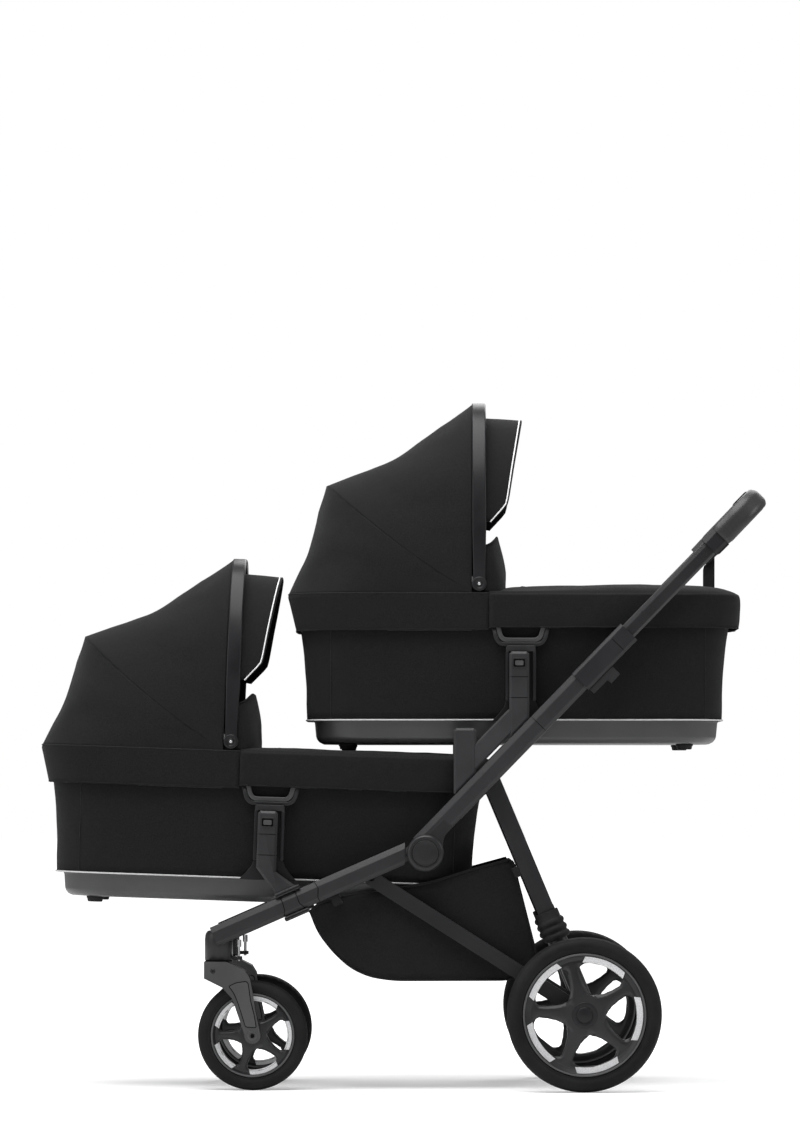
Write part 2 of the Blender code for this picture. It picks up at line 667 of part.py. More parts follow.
def make_brake_pedal():
    """A foot lever that turns round the axle tube, drooping to the rear."""
    droop = math.radians(-38)
    ring = AXLE_RADIUS + 0.006
    centre = (REAR_X, REAR_RADIUS)
    tip = (centre[0] + PEDAL_LENGTH * math.cos(droop), centre[1] + PEDAL_LENGTH * math.sin(droop))
    outline = arc(centre, ring, droop + math.radians(28), droop + math.radians(332), 20)
    outline += arc(tip, 0.006, droop - math.pi / 2, droop + math.pi / 2, 5)
    hole = arc(centre, AXLE_RADIUS + RUN, 0.0, 2 * math.pi, 20)[:-1]
    pedal = plate([outline, hole], PEDAL_WIDTH, PEDAL_Y)
    return add_node(pedal, "brake_pedal", "plastic")


# Wheels
def make_rim(name, place, radius, tyre_depth, width, pin, turn):
    """A ring and five spokes round a hub, open between the spokes."""
    rim_radius = radius - tyre_depth - GAP
    ring_inner = rim_radius * 0.84
    half = width / 2 - RIM_INSET
    ring = turned(
        [(rim_radius, half), (rim_radius, -half), (ring_inner, -half), (ring_inner, half)],
        WHEEL_STEPS, closed=True
    )
    ring.rotation_euler.x = math.pi / 2
    ring.location = place
    hub, waist = rim_radius * 0.36, rim_radius * 0.60
    outline = arc((place[0], place[2]), rim_radius * 0.93, 0.0, 2 * math.pi, WHEEL_STEPS)[:-1]
    loops = [outline]
    window = ((0.875, -22), (0.885, -8), (0.885, 8), (0.875, 22))
    step = 2 * math.pi / SPOKES
    for k in range(SPOKES):
        middle = turn + (k + 0.5) * step
        loop = [(rim_radius * share, math.radians(side)) for share, side in window]
        loop += [(waist, math.radians(21)), (hub, math.radians(11)), (hub, math.radians(-11))]
        loop += [(waist, math.radians(-21))]
        loops.append([
            (place[0] + r * math.cos(middle + side), place[2] + r * math.sin(middle + side))
            for r, side in loop
        ])
    spokes = plate(loops, width * 0.55, place[1])
    join(ring, spokes)
    join(ring, cylinder(hub * 0.8, 2 * half, place, "Y", sides=16))
    cut(ring, cylinder(pin + GAP, width + 0.02, place, "Y", sides=12))
    return add_node(ring, name, "plastic")


def make_tyre(name, place, radius, depth, width):
    """A tyre whose radii are those of its flats, turned so that it stands on one of them."""
    half = width / 2
    inner = radius - depth
    profile = [
        (inner, half * 0.72), (radius - depth * 0.60, half), (radius - depth * 0.22, half * 0.85),
        (radius, half * 0.30), (radius, -half * 0.30), (radius - depth * 0.22, -half * 0.85),
        (radius - depth * 0.60, -half), (inner, -half * 0.72),
    ]
    half_step = math.pi / WHEEL_STEPS
    tyre = turned([(r / math.cos(half_step), h) for r, h in profile], WHEEL_STEPS, closed=True)
    tyre.rotation_euler = (math.pi / 2, half_step, 0.0)
    tyre.location = place
    return add_node(tyre, name, "rubber")


def make_wheels():
    for side, sign in LEFT_RIGHT:
        rear = (REAR_X, sign * REAR_Y, REAR_RADIUS)
        front = (FRONT_X, sign * FRONT_Y, FRONT_RADIUS)
        make_rim(
            f"rear_rim_{side}", rear, REAR_RADIUS, REAR_TYRE_DEPTH, REAR_TYRE_WIDTH,
            REAR_PIN_RADIUS, REAR_SPOKE_TURN
        )
        make_tyre(f"rear_tyre_{side}", rear, REAR_RADIUS, REAR_TYRE_DEPTH, REAR_TYRE_WIDTH)
        make_rim(
            f"front_rim_{side}", front, FRONT_RADIUS, FRONT_TYRE_DEPTH, FRONT_TYRE_WIDTH,
            FRONT_PIN_RADIUS, FRONT_SPOKE_TURN
        )
        make_tyre(f"front_tyre_{side}", front, FRONT_RADIUS, FRONT_TYRE_DEPTH, FRONT_TYRE_WIDTH)


def make_fork(side, sign):
    """Two side plates joined over the wheel, the axle pin and the bore for the foot's spigot."""
    y = sign * FRONT_Y
    axle = (FRONT_X, FRONT_RADIUS)
    inner_half = FRONT_TYRE_WIDTH / 2 + FORK_SIDE_GAP
    front_x = SWIVEL_X - 0.0246
    bend = (FRONT_X - 0.0521, FRONT_RADIUS + 0.0829)
    arch = arc(axle, FRONT_RADIUS + 0.0055, math.radians(121.2), math.radians(97), 4)
    shoulder = [(SWIVEL_X + 0.0463, 0.2065), (SWIVEL_X + 0.0199, 0.2197), (SWIVEL_X + 0.0129, FORK_TOP_Z)]
    top = [(front_x, FORK_TOP_Z), (front_x, 0.1935)]
    bridge = plate([top + arch + shoulder], 2 * inner_half + FORK_PLATE, y)
    arm = top + [bend, (FRONT_X - 0.0350, FRONT_RADIUS + 0.0640), (FRONT_X - 0.0216, FRONT_RADIUS + 0.0244)]
    arm += arc(axle, 0.0138, math.radians(172), math.radians(368), 10)
    arm += [(FRONT_X + 0.0048, FRONT_RADIUS + 0.0429), (FRONT_X + 0.0008, FRONT_RADIUS + 0.0720)]
    arm += [(FRONT_X - 0.0045, FRONT_RADIUS + 0.0984)] + shoulder
    for face in (-1, 1):
        join(bridge, plate([arm], FORK_PLATE, y + face * (inner_half + FORK_PLATE / 2)))
    join(bridge, cylinder(FRONT_PIN_RADIUS, 2 * inner_half + 0.004, at(axle, y), "Y", sides=16))
    bore = SPIGOT_LENGTH + 0.002
    cut(bridge, cylinder(
        SPIGOT_RADIUS + GAP, bore + 0.01, (SWIVEL_X, y, FORK_TOP_Z - bore / 2 + 0.005), sides=16
    ))
    return add_node(bridge, f"swivel_fork_{side}", "plastic")


def make_swivel_lock(side, sign):
    y = sign * FRONT_Y
    tip = FORK_TOP_Z + LOCK_TIP_LIFT
    knob_start, knob_end = 0.2475, 0.2600
    top = knob_start + 0.002
    lock = cylinder(LOCK_PIN_RADIUS, top - tip, (LOCK_X, y, (tip + top) / 2), sides=16)
    knob_middle = (LOCK_X, y, (knob_start + knob_end) / 2)
    knob = cylinder(LOCK_KNOB_RADIUS, knob_end - knob_start, knob_middle, sides=16)
    return add_node(join(lock, knob), f"swivel_lock_{side}", "steel")


# Basket
def make_basket():
    """A cloth tub, open on top, with rear clips on the legs and front tabs under the tubes."""
    xs = [x for x, _ in BASKET_OUTLINE]
    middle = (min(xs) + max(xs)) / 2
    basket = plate([BASKET_OUTLINE], 2 * BASKET_HALF_WIDTH)
    low = min(z for _, z in BASKET_OUTLINE)
    high = max(z for _, z in BASKET_OUTLINE)
    mid_z = (low + high) / 2
    hollow = []
    for x, z in BASKET_OUTLINE:
        reach = math.hypot(x - middle, z - mid_z)
        pull = BASKET_WALL * 1.25 / reach
        hollow.append((x + (middle - x) * pull, z + (mid_z - z) * pull))
    first, last = BASKET_OUTLINE[0], BASKET_OUTLINE[-1]
    hollow[0] = (hollow[0][0], first[1] + 0.02)
    hollow[-1] = (last[0] - BASKET_WALL, last[1] + 0.02)
    hollow[-2] = (hollow[-2][0] - BASKET_WALL * 0.4, hollow[-2][1])
    cut(basket, plate([hollow], 2 * (BASKET_HALF_WIDTH - BASKET_WALL)))
    for _, sign in LEFT_RIGHT:
        inner = BASKET_HALF_WIDTH - BASKET_WALL / 2
        outer = INNER_Y + LEG_ACROSS / 2
        clip_along = 0.165
        face = -LEG_DEPTH / 2 - GAP
        clip = bar_between(
            on_leg(clip_along, face - 0.006), on_leg(clip_along + 0.018, face - 0.006),
            sign * (inner + outer) / 2, outer - inner, 0.012, 0.0
        )
        join(basket, clip)
        tab_along = 0.134
        tab_face = -FRONT_DEPTH / 2 - GAP
        tab_outer = FRAME_Y + 0.002
        tab = bar_between(
            on_front(tab_along, tab_face - 0.009), on_front(tab_along + 0.016, tab_face - 0.009),
            sign * (inner + tab_outer) / 2, tab_outer - inner, 0.018, 0.0
        )
        join(basket, tab)
    return add_node(basket, "basket", "fabric")


# Adapters
def cot_point(cot, x, z):
    """A cot's own (x, z), as world (x, z)."""
    px, pz, tilt = COT_PIVOTS[cot]
    c, s = math.cos(math.radians(tilt)), math.sin(math.radians(tilt))
    return (px + x * c + z * s, pz - x * s + z * c)


def button_pocket(cot, sign):
    width, height, depth = ADAPTER_BUTTON
    x, z = post_button(cot)
    y = sign * (POST_Y + POST_ACROSS / 2 - depth / 2 + 0.002)
    return box((width + 2 * GAP, depth + 0.004, height + 2 * GAP), (x, y, z))


def post_button(cot):
    return cot_point(cot, POST_X, POST_TOP - ADAPTER_BUTTON_DROP)


def post_head(cot):
    """The chamfered upper end of a cot's post, from its rear edge to its front edge."""
    chamfer = 0.004
    inner, outer = POST_HALF_WIDTH - chamfer, POST_HALF_WIDTH
    corners = ((outer, -chamfer), (inner, 0.0), (-inner, 0.0), (-outer, -chamfer))
    return [cot_point(cot, POST_X + x, POST_TOP + z) for x, z in corners]


def make_upper_adapter(side, sign):
    """A socket post that stands on the upper tube, an oblique arm and the cot's upright post."""
    y = sign * POST_Y
    face = UPPER_DEPTH / 2 + GAP
    slope = math.tan(UPPER_ANGLE)
    socket_x, socket_width, socket_top = UPPER_SOCKET

    def tube_top(x):
        base_x, base_z = on_upper(0.0, face)
        return base_z + (x - base_x) * slope

    left, right = socket_x - socket_width / 2, socket_x + socket_width / 2
    socket = plate([[(left, tube_top(left)), (right, tube_top(right)), (right, socket_top - 0.004),
                     (right - 0.004, socket_top), (left + 0.004, socket_top), (left, socket_top - 0.004)]],
                   POST_ACROSS, y)
    head = post_head("upper")
    start, end = head[-1][0], head[0][0]
    post = plate([[(start, tube_top(start)), (end, tube_top(end)), *head]], POST_ACROSS, y)
    arm_depth = 0.0326
    arm_rise = face + arm_depth / 2 + 0.004
    arm = bar_between(
        on_upper(0.158, arm_rise), on_upper(0.280, arm_rise), y, POST_ACROSS - 0.002, arm_depth, 0.0
    )
    join(socket, arm)
    join(socket, post)
    web_inner = POST_Y - POST_ACROSS / 2 - 0.001
    web_outer = FRAME_Y - TUBE_ACROSS / 2 - GAP
    web = bar_between(
        on_upper(0.085, 0.004), on_upper(0.145, 0.004), sign * (web_inner + web_outer) / 2,
        web_outer - web_inner, UPPER_DEPTH + 0.010, 0.0
    )
    join(socket, web)
    cut(socket, button_pocket("upper", sign))
    return add_node(socket, f"upper_adapter_{side}", "plastic")


def make_lower_adapter(side, sign):
    """A clamp on the front tube, a slanting arm and the cot's upright post."""
    y = sign * POST_Y
    head = post_head("lower")
    bend_left = cot_point("lower", POST_X - POST_HALF_WIDTH, LOWER_ARM_BEND + 0.003)
    bend_right = cot_point("lower", POST_X + POST_HALF_WIDTH, LOWER_ARM_BEND - 0.003)
    face = FRONT_DEPTH / 2 + GAP
    seat_left = on_front(CLAMP_START + CLAMP_LENGTH - 0.004, face + CLAMP_LIP / 3)
    seat_right = on_front(CLAMP_START + 0.004, face + CLAMP_LIP / 3)
    adapter = plate([[bend_left, seat_left, seat_right, bend_right, *head]], POST_ACROSS, y)
    inner = POST_Y - POST_ACROSS / 2 - 0.001
    outer = FRAME_Y + TUBE_ACROSS / 2
    middle, across = sign * (inner + outer) / 2, outer - inner
    ends = (CLAMP_START, CLAMP_START + CLAMP_LENGTH)
    for rise in (face + CLAMP_LIP / 2, -face - CLAMP_LIP / 2):
        start, end = on_front(ends[0], rise), on_front(ends[1], rise)
        join(adapter, bar_between(start, end, middle, across, CLAMP_LIP, 0.0))
    web_outer = FRAME_Y - TUBE_ACROSS / 2 - GAP
    web = bar_between(
        on_front(ends[0] + 0.002), on_front(ends[1] - 0.002), sign * (inner - 0.001 + web_outer) / 2,
        web_outer - inner + 0.001, FRONT_DEPTH + CLAMP_LIP, 0.0
    )
    join(adapter, web)
    cut(adapter, button_pocket("lower", sign))
    return add_node(adapter, f"lower_adapter_{side}", "plastic")


def make_adapter_button(cot, side, sign):
    width, height, depth = ADAPTER_BUTTON
    x, z = post_button(cot)
    y = sign * (POST_Y + POST_ACROSS / 2 - depth / 2 + BUTTON_TRAVEL / 2)
    button = box((width, depth - BUTTON_TRAVEL, height), (x, y, z), 0.0, 0.001)
    return add_node(button, f"{cot}_adapter_button_{side}", "plastic")


# Carrycots
def plan_ring(head, foot, half_width, corner, z, steps=4):
    """A rounded rectangle seen from above, as points from the foot's left round to its right."""
    ring = []
    corners = (
        (foot - corner, half_width - corner, 0.0), (head + corner, half_width - corner, math.pi / 2),
        (head + corner, corner - half_width, math.pi), (foot - corner, corner - half_width, 1.5 * math.pi),
    )
    for x, y, start in corners:
        ring += [(px, py, z) for px, py in arc((x, y), corner, start, start + math.pi / 2, steps)]
    return ring


def loft(rings, start_cap, end_cap, cyclic=True):
    """Rings of equal count joined with quads; a cap is closed with one face."""
    bm = bmesh.new()
    rows = [[bm.verts.new(point) for point in ring] for ring in rings]
    count = len(rows[0])
    for lower, upper in zip(rows, rows[1:]):
        for i in range(count if cyclic else count - 1):
            j = (i + 1) % count
            bm.faces.new((lower[i], lower[j], upper[j], upper[i]))
    if start_cap:
        bm.faces.new(list(reversed(rows[0])))
    if end_cap:
        bm.faces.new(rows[-1])
    bmesh.ops.remove_doubles(bm, verts=bm.verts, dist=0.00001)
    return mesh_object(bm)


def thicken(obj, thickness, even=True):
    """Gives an open surface a thickness on its inner side."""
    modifier = obj.modifiers.new("thickness", "SOLIDIFY")
    modifier.thickness = thickness
    modifier.offset = -1.0
    modifier.use_even_offset = even
    return obj


def body_ring(share, z, grow=0.0):
    """The cot body's plan at a share of its height, from 0 at the bottom to 1 at the top."""
    inset = BODY_INSET_BOTTOM + (BODY_INSET_TOP - BODY_INSET_BOTTOM) * share - grow
    ends = BODY_END_INSET_BOTTOM + (BODY_END_INSET_TOP - BODY_END_INSET_BOTTOM) * share - grow
    return plan_ring(COT_HEAD + ends, COT_FOOT - ends, COT_HALF_WIDTH - inset, COT_CORNER - inset / 2, z)


def make_cot_shell(cot, frame):
    """The cloth body: an open tub with a lip that the cover and hood hang round, and hinge lugs."""
    levels = ((0.0, BODY_BOTTOM), (0.5, (BODY_BOTTOM + BODY_TOP) / 2), (1.0, BODY_TOP - 0.006))
    rings = [body_ring(share, z) for share, z in levels]
    lip_grow = BODY_INSET_TOP - SKIN - 2 * RUN
    rings.append(body_ring(1.0, BODY_TOP - 0.003, lip_grow))
    shell = thicken(loft(rings, True, False), BODY_WALL)
    wall = COT_HALF_WIDTH - BODY_INSET_TOP - BODY_WALL
    for _, sign in LEFT_RIGHT:
        lug_inner, lug_outer = wall - 0.003, mid_eye_inner() - 2 * RUN
        lug = box((0.024, lug_outer - lug_inner, 0.062), (0.0, sign * (lug_inner + lug_outer) / 2, -0.022))
        pin_outer = COT_HALF_WIDTH - 0.001
        pin_middle = (0.0, sign * (lug_inner + pin_outer) / 2, 0.0)
        pin = cylinder(HINGE_PIN_RADIUS, pin_outer - lug_inner, pin_middle, "Y", sides=12)
        join(shell, lug)
        join(shell, pin)
    return add_node(shell, f"{cot}_cot_body", "fabric", frame)


def mid_eye_outer():
    return COT_HALF_WIDTH - HOOP_THICKNESS - RUN


def mid_eye_inner():
    return mid_eye_outer() - MID_HOOP_THICKNESS


def make_cot_tray(cot, frame):
    """The hard base with four feet, and on each side a bracket that stands on the adapter's post."""
    head, foot = COT_HEAD + TRAY_HEAD_INSET, COT_FOOT - TRAY_FOOT_INSET
    corner = COT_CORNER - 0.02
    rings = [
        plan_ring(head + 0.014, foot - 0.014, TRAY_HALF_WIDTH - 0.014, corner, TRAY_BOTTOM),
        plan_ring(head + 0.003, foot - 0.003, TRAY_HALF_WIDTH - 0.003, corner, TRAY_BOTTOM + 0.012),
        plan_ring(head, foot, TRAY_HALF_WIDTH, corner, TRAY_TOP),
    ]
    tray = thicken(loft(rings, True, False), TRAY_WALL)
    for x in (head + 0.058, foot - 0.060):
        for _, sign in LEFT_RIGHT:
            centre = (x, sign * (TRAY_HALF_WIDTH - 0.045), TRAY_BOTTOM - FOOT_DEPTH / 2 + 0.001)
            join(tray, cylinder(0.013, FOOT_DEPTH + 0.002, centre, sides=12))
    ring_low = RING_BOTTOM - GAP
    tab_top, tab_bottom = ring_low - BEZEL_BAR + 0.001, POST_TOP + GAP
    for _, sign in LEFT_RIGHT:
        join(tray, bracket_plate(sign, ring_low))
        rib_outer = POST_Y - 0.002
        inner = BRACKET_Y
        rib_middle = sign * (inner + rib_outer) / 2
        rib_bottom = POST_TOP - 0.085
        tab_size = (2 * BRACKET_HALF_WIDTH - 0.001, rib_outer - inner - 0.001, tab_top - tab_bottom)
        join(tray, box(tab_size, (BRACKET_X, rib_middle, (tab_top + tab_bottom) / 2)))
        for edge in (-1, 1):
            rib_x = BRACKET_X + edge * (BRACKET_HALF_WIDTH - BRACKET_RIB / 2)
            rib_size = (BRACKET_RIB, rib_outer - inner, tab_bottom + 0.002 - rib_bottom)
            join(tray, box(rib_size, (rib_x, rib_middle, (tab_bottom + 0.002 + rib_bottom) / 2)))
    return add_node(tray, f"{cot}_cot_tray", "plastic", frame)


def bracket_plate(sign, ring_low):
    """The bracket's plate, flared at its foot and forked round the release handle above."""
    middle = BRACKET_X
    y = sign * BRACKET_Y
    flare = TRAY_TOP - 0.004
    low = TRAY_TOP - 0.022
    half, wide = BRACKET_HALF_WIDTH - 0.001, BRACKET_HALF_WIDTH + 0.020
    slope = (RING_HALF_TOP - RING_HALF_BOTTOM) / (RING_TOP - RING_BOTTOM)
    arm_top = RING_TOP - 0.012
    arm_in = RING_HALF_BOTTOM + GAP + slope * (arm_top - RING_BOTTOM)
    arm_low = RING_HALF_BOTTOM + GAP
    right = [
        (wide, low), (wide, flare), (half, flare + 0.020), (half, ring_low - BEZEL_BAR - 0.004),
        (arm_low + 0.001, ring_low - BEZEL_BAR), (arm_low + BEZEL_BAR, ring_low),
        (arm_in + BEZEL_BAR, arm_top), (arm_in, arm_top), (arm_low, ring_low),
    ]
    outline = [(middle + x, z) for x, z in right] + [(middle - x, z) for x, z in reversed(right)]
    bracket = plate([outline], BRACKET_ACROSS, y)
    inner, outer = TRAY_HALF_WIDTH - 0.006, BRACKET_Y
    shelf_size = (2 * wide - 0.004, outer - inner, 0.006)
    return join(bracket, box(shelf_size, (middle, sign * (inner + outer) / 2, low + 0.005)))


def make_release_handle(cot, side, sign, frame):
    """A ring under the edge of the cover; lifting it frees the cot."""
    slope = (RING_HALF_TOP - RING_HALF_BOTTOM) / (RING_TOP - RING_BOTTOM)

    def half(z, inset):
        return RING_HALF_BOTTOM + slope * (z - RING_BOTTOM) - inset

    def four_sides(low, high, inset):
        lower, upper = half(low, inset), half(high, inset)
        corners = ((-lower, low), (lower, low), (upper, high), (-upper, high))
        return [(BRACKET_X + x, z) for x, z in corners]

    outer = four_sides(RING_BOTTOM, RING_TOP, 0.0)
    hole = four_sides(RING_BOTTOM + RING_BAR, RING_TOP - RING_BAR, RING_BAR)
    ring = plate([outer, hole], BRACKET_ACROSS, sign * BRACKET_Y)
    return add_node(ring, f"{cot}_release_handle_{side}", "plastic", frame)


def make_mattress(cot, frame):
    """A boxed cushion: crowned top, sides drawn in between two corded edges."""
    inset = BODY_WALL + MATTRESS_INSET
    base = BODY_BOTTOM + BODY_WALL + GAP
    share = MATTRESS_HEIGHT / (BODY_TOP - BODY_BOTTOM)
    levels = (
        (0.0, 0.010), (0.12, 0.001), (0.50, 0.006), (0.80, 0.0), (0.93, 0.014), (0.985, 0.040), (1.0, 0.080),
    )
    rings = [
        body_ring(share * height, base + MATTRESS_HEIGHT * height, -inset - pull) for height, pull in levels
    ]
    rings[-1] = [(x, y, z + 0.002) for x, y, z in rings[-1]]
    return add_node(loft(rings, True, True), f"{cot}_mattress", "lining", frame)


def cover_ring(start, grow, z, pull=0.0):
    """The foot end of the cot's plan, from start on the left round the foot to the right."""
    ring = plan_ring(COT_HEAD, COT_FOOT + grow, COT_HALF_WIDTH + grow, COT_CORNER + grow, z, 7)
    foot = [point for point in ring if point[0] > COT_HEAD + 2.5 * COT_CORNER]
    half = len(foot) // 2
    foot = foot[half:] + foot[:half]
    foot = [(start, -COT_HALF_WIDTH - grow, z)] + foot + [(start, COT_HALF_WIDTH + grow, z)]
    return [(start + (x - start) * (1 - pull), y * (1 - pull), z_) for x, y, z_ in foot]


def crowned(ring, fall):
    """A ring of the deck, falling away from the foot towards its open end."""
    start, foot = ring[0][0], max(x for x, _, _ in ring)
    return [(x, y, z - fall * (1 - (x - start) / (foot - start)) ** 2) for x, y, z in ring]


def make_foot_cover(cot, frame):
    """The cover over the foot half: a skirt round the rim, a crowned top and a raised wind flap."""
    top = BAND_TOP + 0.002
    behind, ahead = -HOOP_WIDTH / 2, HOOP_BOSS_RADIUS + 0.0065
    crown, fall = DECK_CROWN[cot]
    rings = [
        cover_ring(behind, -RUN, COVER_BOTTOM), cover_ring(behind, 0.0, (BAND_TOP + COVER_BOTTOM) / 2),
        cover_ring(behind, -0.001, BAND_TOP - COVER_EDGE), cover_ring(ahead, -COVER_EDGE, top - 0.002),
        crowned(cover_ring(ahead, -COVER_EDGE, top + crown * 0.65, 0.10), fall),
        crowned(cover_ring(ahead, -COVER_EDGE, top + crown, 0.40), fall),
        crowned(cover_ring(ahead, -COVER_EDGE, top + crown, 0.85), fall),
    ]
    cover = loft(rings, False, True, cyclic=False)
    thicken(cover, SKIN)
    root = top - 0.004
    half = COT_HALF_WIDTH - 0.030
    side, rise = FLAP_SIDE_Z - root, FLAP_TOP_Z - root
    outline = [(-half, 0.0), (half, 0.0), (half - 0.008, side), (half * 0.5, rise), (-half * 0.5, rise),
               (0.008 - half, side)]
    flap = plate([outline], SKIN, turn=FRONT_VIEW)
    flap.location = (FLAP_BASE_X, 0.0, root)
    flap.rotation_euler.y = math.atan2(FLAP_TOP_X - FLAP_BASE_X, rise)
    return add_node(join(cover, flap), f"{cot}_foot_cover", "fabric", frame)


def arch_points(radius, half_width, power, columns=HOOD_COLUMNS):
    """An arch as (y, height) pairs, evenly turned from the left rim to the right."""
    points = []
    for i in range(columns + 1):
        turn = math.pi * i / columns
        c, s = math.cos(turn), math.sin(turn)
        y = -half_width * math.copysign(abs(c) ** (2 / power), c)
        points.append((y, radius * max(s, 0.0) ** (2 / power)))
    return points


def hood_row(degrees, radius, power):
    """One row of the hood, turned about the pivots; degrees count up from level towards the head."""
    turn = math.radians(degrees)
    crown_x, crown_z = -radius * math.cos(turn), radius * math.sin(turn)
    row = []
    for y, share in arch_points(1.0, COT_HALF_WIDTH - 0.001, power):
        x = HOOD_START + (crown_x - HOOD_START) * share
        row.append((x, y, HOOD_BASE + (crown_z - HOOD_BASE) * share))
    return row


def hood_band(head, half_width, z):
    """The band's plan from the left side round the head to the right, with as many points as a row."""
    depth = HOOD_START - head
    quarter = [(half_width, 0.0), (half_width, 0.38 * depth)]
    quarter += arc((half_width - COT_CORNER, depth - COT_CORNER), COT_CORNER, 0.0, math.pi / 2, 4)
    quarter += [((half_width - COT_CORNER) / 2, depth)]
    right = [(HOOD_START - back, y, z) for y, back in quarter]
    return [(x, -y, z) for x, y, z in right] + [(head, 0.0, z)] + list(reversed(right))


def visor_reach(z):
    for (low, near), (high, far) in zip(VISOR_REACH, VISOR_REACH[1:]):
        if low <= z <= high:
            return near + (far - near) * (z - low) / (high - low)
    return VISOR_REACH[-1][1]


def hoop_arch(drop, x, base=HOOD_BASE, height=HOOD_HEIGHT):
    """A row beside or inside the front hoop, drop below its outer face, with both ends at base."""
    points = arch_points(height - drop, COT_HALF_WIDTH - drop, HOOP_POWER)
    return [(x, y, rise if rise > HOOD_EDGE else base) for y, rise in points]


def make_hood(cot, frame):
    """Hood cloth from the band round the head, over both hoops, to the visor's edge."""
    behind = HOOD_START
    rows = [
        hood_band(COT_HEAD + BAND_HEAD_INSET, COT_HALF_WIDTH - RUN, BAND_BOTTOM),
        hood_band(COT_HEAD, COT_HALF_WIDTH, BAND_TOP - 0.006),
    ]
    rows += [hood_row(*row) for row in HOOD_ROWS]
    rows.append(hoop_arch(0.003, behind))
    inside = HOOP_THICKNESS + 2 * RUN
    rows.append(hoop_arch(inside, behind + 0.0004, HOOD_EDGE))
    visor = hoop_arch(inside, -behind, HOOD_EDGE, VISOR_HEIGHT + inside)
    rows.append(visor)
    rows.append([(x + visor_reach(z) + 0.001, y, z * (1 - VISOR_DROOP / VISOR_HEIGHT)) for x, y, z in visor])
    hood = loft([list(reversed(row)) for row in rows], False, False, cyclic=False)
    thicken(hood, HOOD_CLOTH, even=False)
    return add_node(hood, f"{cot}_hood", "fabric", frame)


def make_front_hoop(cot, frame):
    """The flat hoop that carries the hood's front, with a round boss at each pivot."""
    outer = arch_points(HOOD_HEIGHT, COT_HALF_WIDTH, HOOP_POWER)
    inner = arch_points(HOOD_HEIGHT - HOOP_THICKNESS, COT_HALF_WIDTH - HOOP_THICKNESS, HOOP_POWER)
    hoop = plate([outer + list(reversed(inner))], HOOP_WIDTH, turn=FRONT_VIEW)
    for _, sign in LEFT_RIGHT:
        y = sign * (COT_HALF_WIDTH - HOOP_THICKNESS / 2)
        join(hoop, cylinder(HOOP_BOSS_RADIUS, HOOP_THICKNESS - 0.0004, (0.0, y, 0.0), "Y", sides=16))
        cut(hoop, cylinder(HINGE_PIN_RADIUS + RUN, HOOP_THICKNESS + 0.02, (0.0, y, 0.0), "Y", sides=12))
    return add_node(hoop, f"{cot}_front_hoop", "plastic", frame)


def make_mid_hoop(cot, frame):
    """The wire hoop inside the hood's crease, turned back about the same pivots."""
    eye_outer = mid_eye_outer()
    outer = arch_points(MID_HOOP_RADIUS - MID_HOOP_DROP, eye_outer, HOOP_POWER)
    inner = arch_points(
        MID_HOOP_RADIUS - MID_HOOP_DROP - MID_HOOP_THICKNESS, eye_outer - MID_HOOP_THICKNESS, HOOP_POWER
    )
    hoop = plate([outer + list(reversed(inner))], MID_HOOP_WIDTH, turn=FRONT_VIEW)
    for _, sign in LEFT_RIGHT:
        y = sign * (eye_outer - MID_HOOP_THICKNESS / 2)
        join(hoop, cylinder(0.009, MID_HOOP_THICKNESS - 0.0004, (0.0, y, 0.0), "Y", sides=16))
        cut(hoop, cylinder(HINGE_PIN_RADIUS + RUN, MID_HOOP_THICKNESS + 0.02, (0.0, y, 0.0), "Y", sides=12))
    add_node(hoop, f"{cot}_mid_hoop", "steel", frame)
    hoop.rotation_euler.y = MID_HOOP_ANGLE - math.pi / 2
    return hoop


def parent_tools(obj, frame):
    """Carries a piece's cutters and joined shapes along with its cot."""
    for modifier in obj.modifiers:
        if modifier.type == "BOOLEAN":
            modifier.object.parent = frame
            parent_tools(modifier.object, frame)


def make_carrycot(cot):
    x, z, tilt = COT_PIVOTS[cot]
    frame = bpy.data.objects.new(f"{cot}_cot_frame", None)
    frame.location = (x, 0.0, z)
    frame.rotation_euler.y = math.radians(tilt)
    guides.objects.link(frame)
    pieces = [
        make_cot_tray(cot, frame), make_cot_shell(cot, frame), make_mattress(cot, frame),
        make_foot_cover(cot, frame), make_hood(cot, frame), make_front_hoop(cot, frame),
    ]
    for side, sign in LEFT_RIGHT:
        pieces.append(make_release_handle(cot, side, sign, frame))
    for piece in pieces:
        parent_tools(piece, frame)
    mid = make_mid_hoop(cot, frame)
    turned_frame = bpy.data.objects.new(f"{cot}_mid_hoop_frame", None)
    turned_frame.parent = frame
    turned_frame.rotation_euler.y = mid.rotation_euler.y
    guides.objects.link(turned_frame)
    parent_tools(mid, turned_frame)


def build():
    make_front_crossbar()
    make_handle_frame()
    make_handle_grip()
    make_height_button()
    make_hand_strap()
    make_rear_leg_frame()
    make_axle_beam()
    make_brake_pedal()
    make_basket()
    make_wheels()
    for side, sign in LEFT_RIGHT:
        make_front_tube(side, sign)
        make_upper_tube(side, sign)
        make_sleeve(side, sign)
        make_fold_latch(side, sign)
        make_gaiter(side, sign)
        make_strut(side, sign)
        make_fork(side, sign)
        make_swivel_lock(side, sign)
        make_upper_adapter(side, sign)
        make_lower_adapter(side, sign)
        for cot in COT_PIVOTS:
            make_adapter_button(cot, side, sign)
    for cot in COT_PIVOTS:
        make_carrycot(cot)


build()
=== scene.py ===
"""Looks of the tandem pram, in metres, +Z up, front towards -X, the pram's left side at -Y."""

import json
import math

import bmesh
import bpy
from mathutils import Matrix, Vector, noise

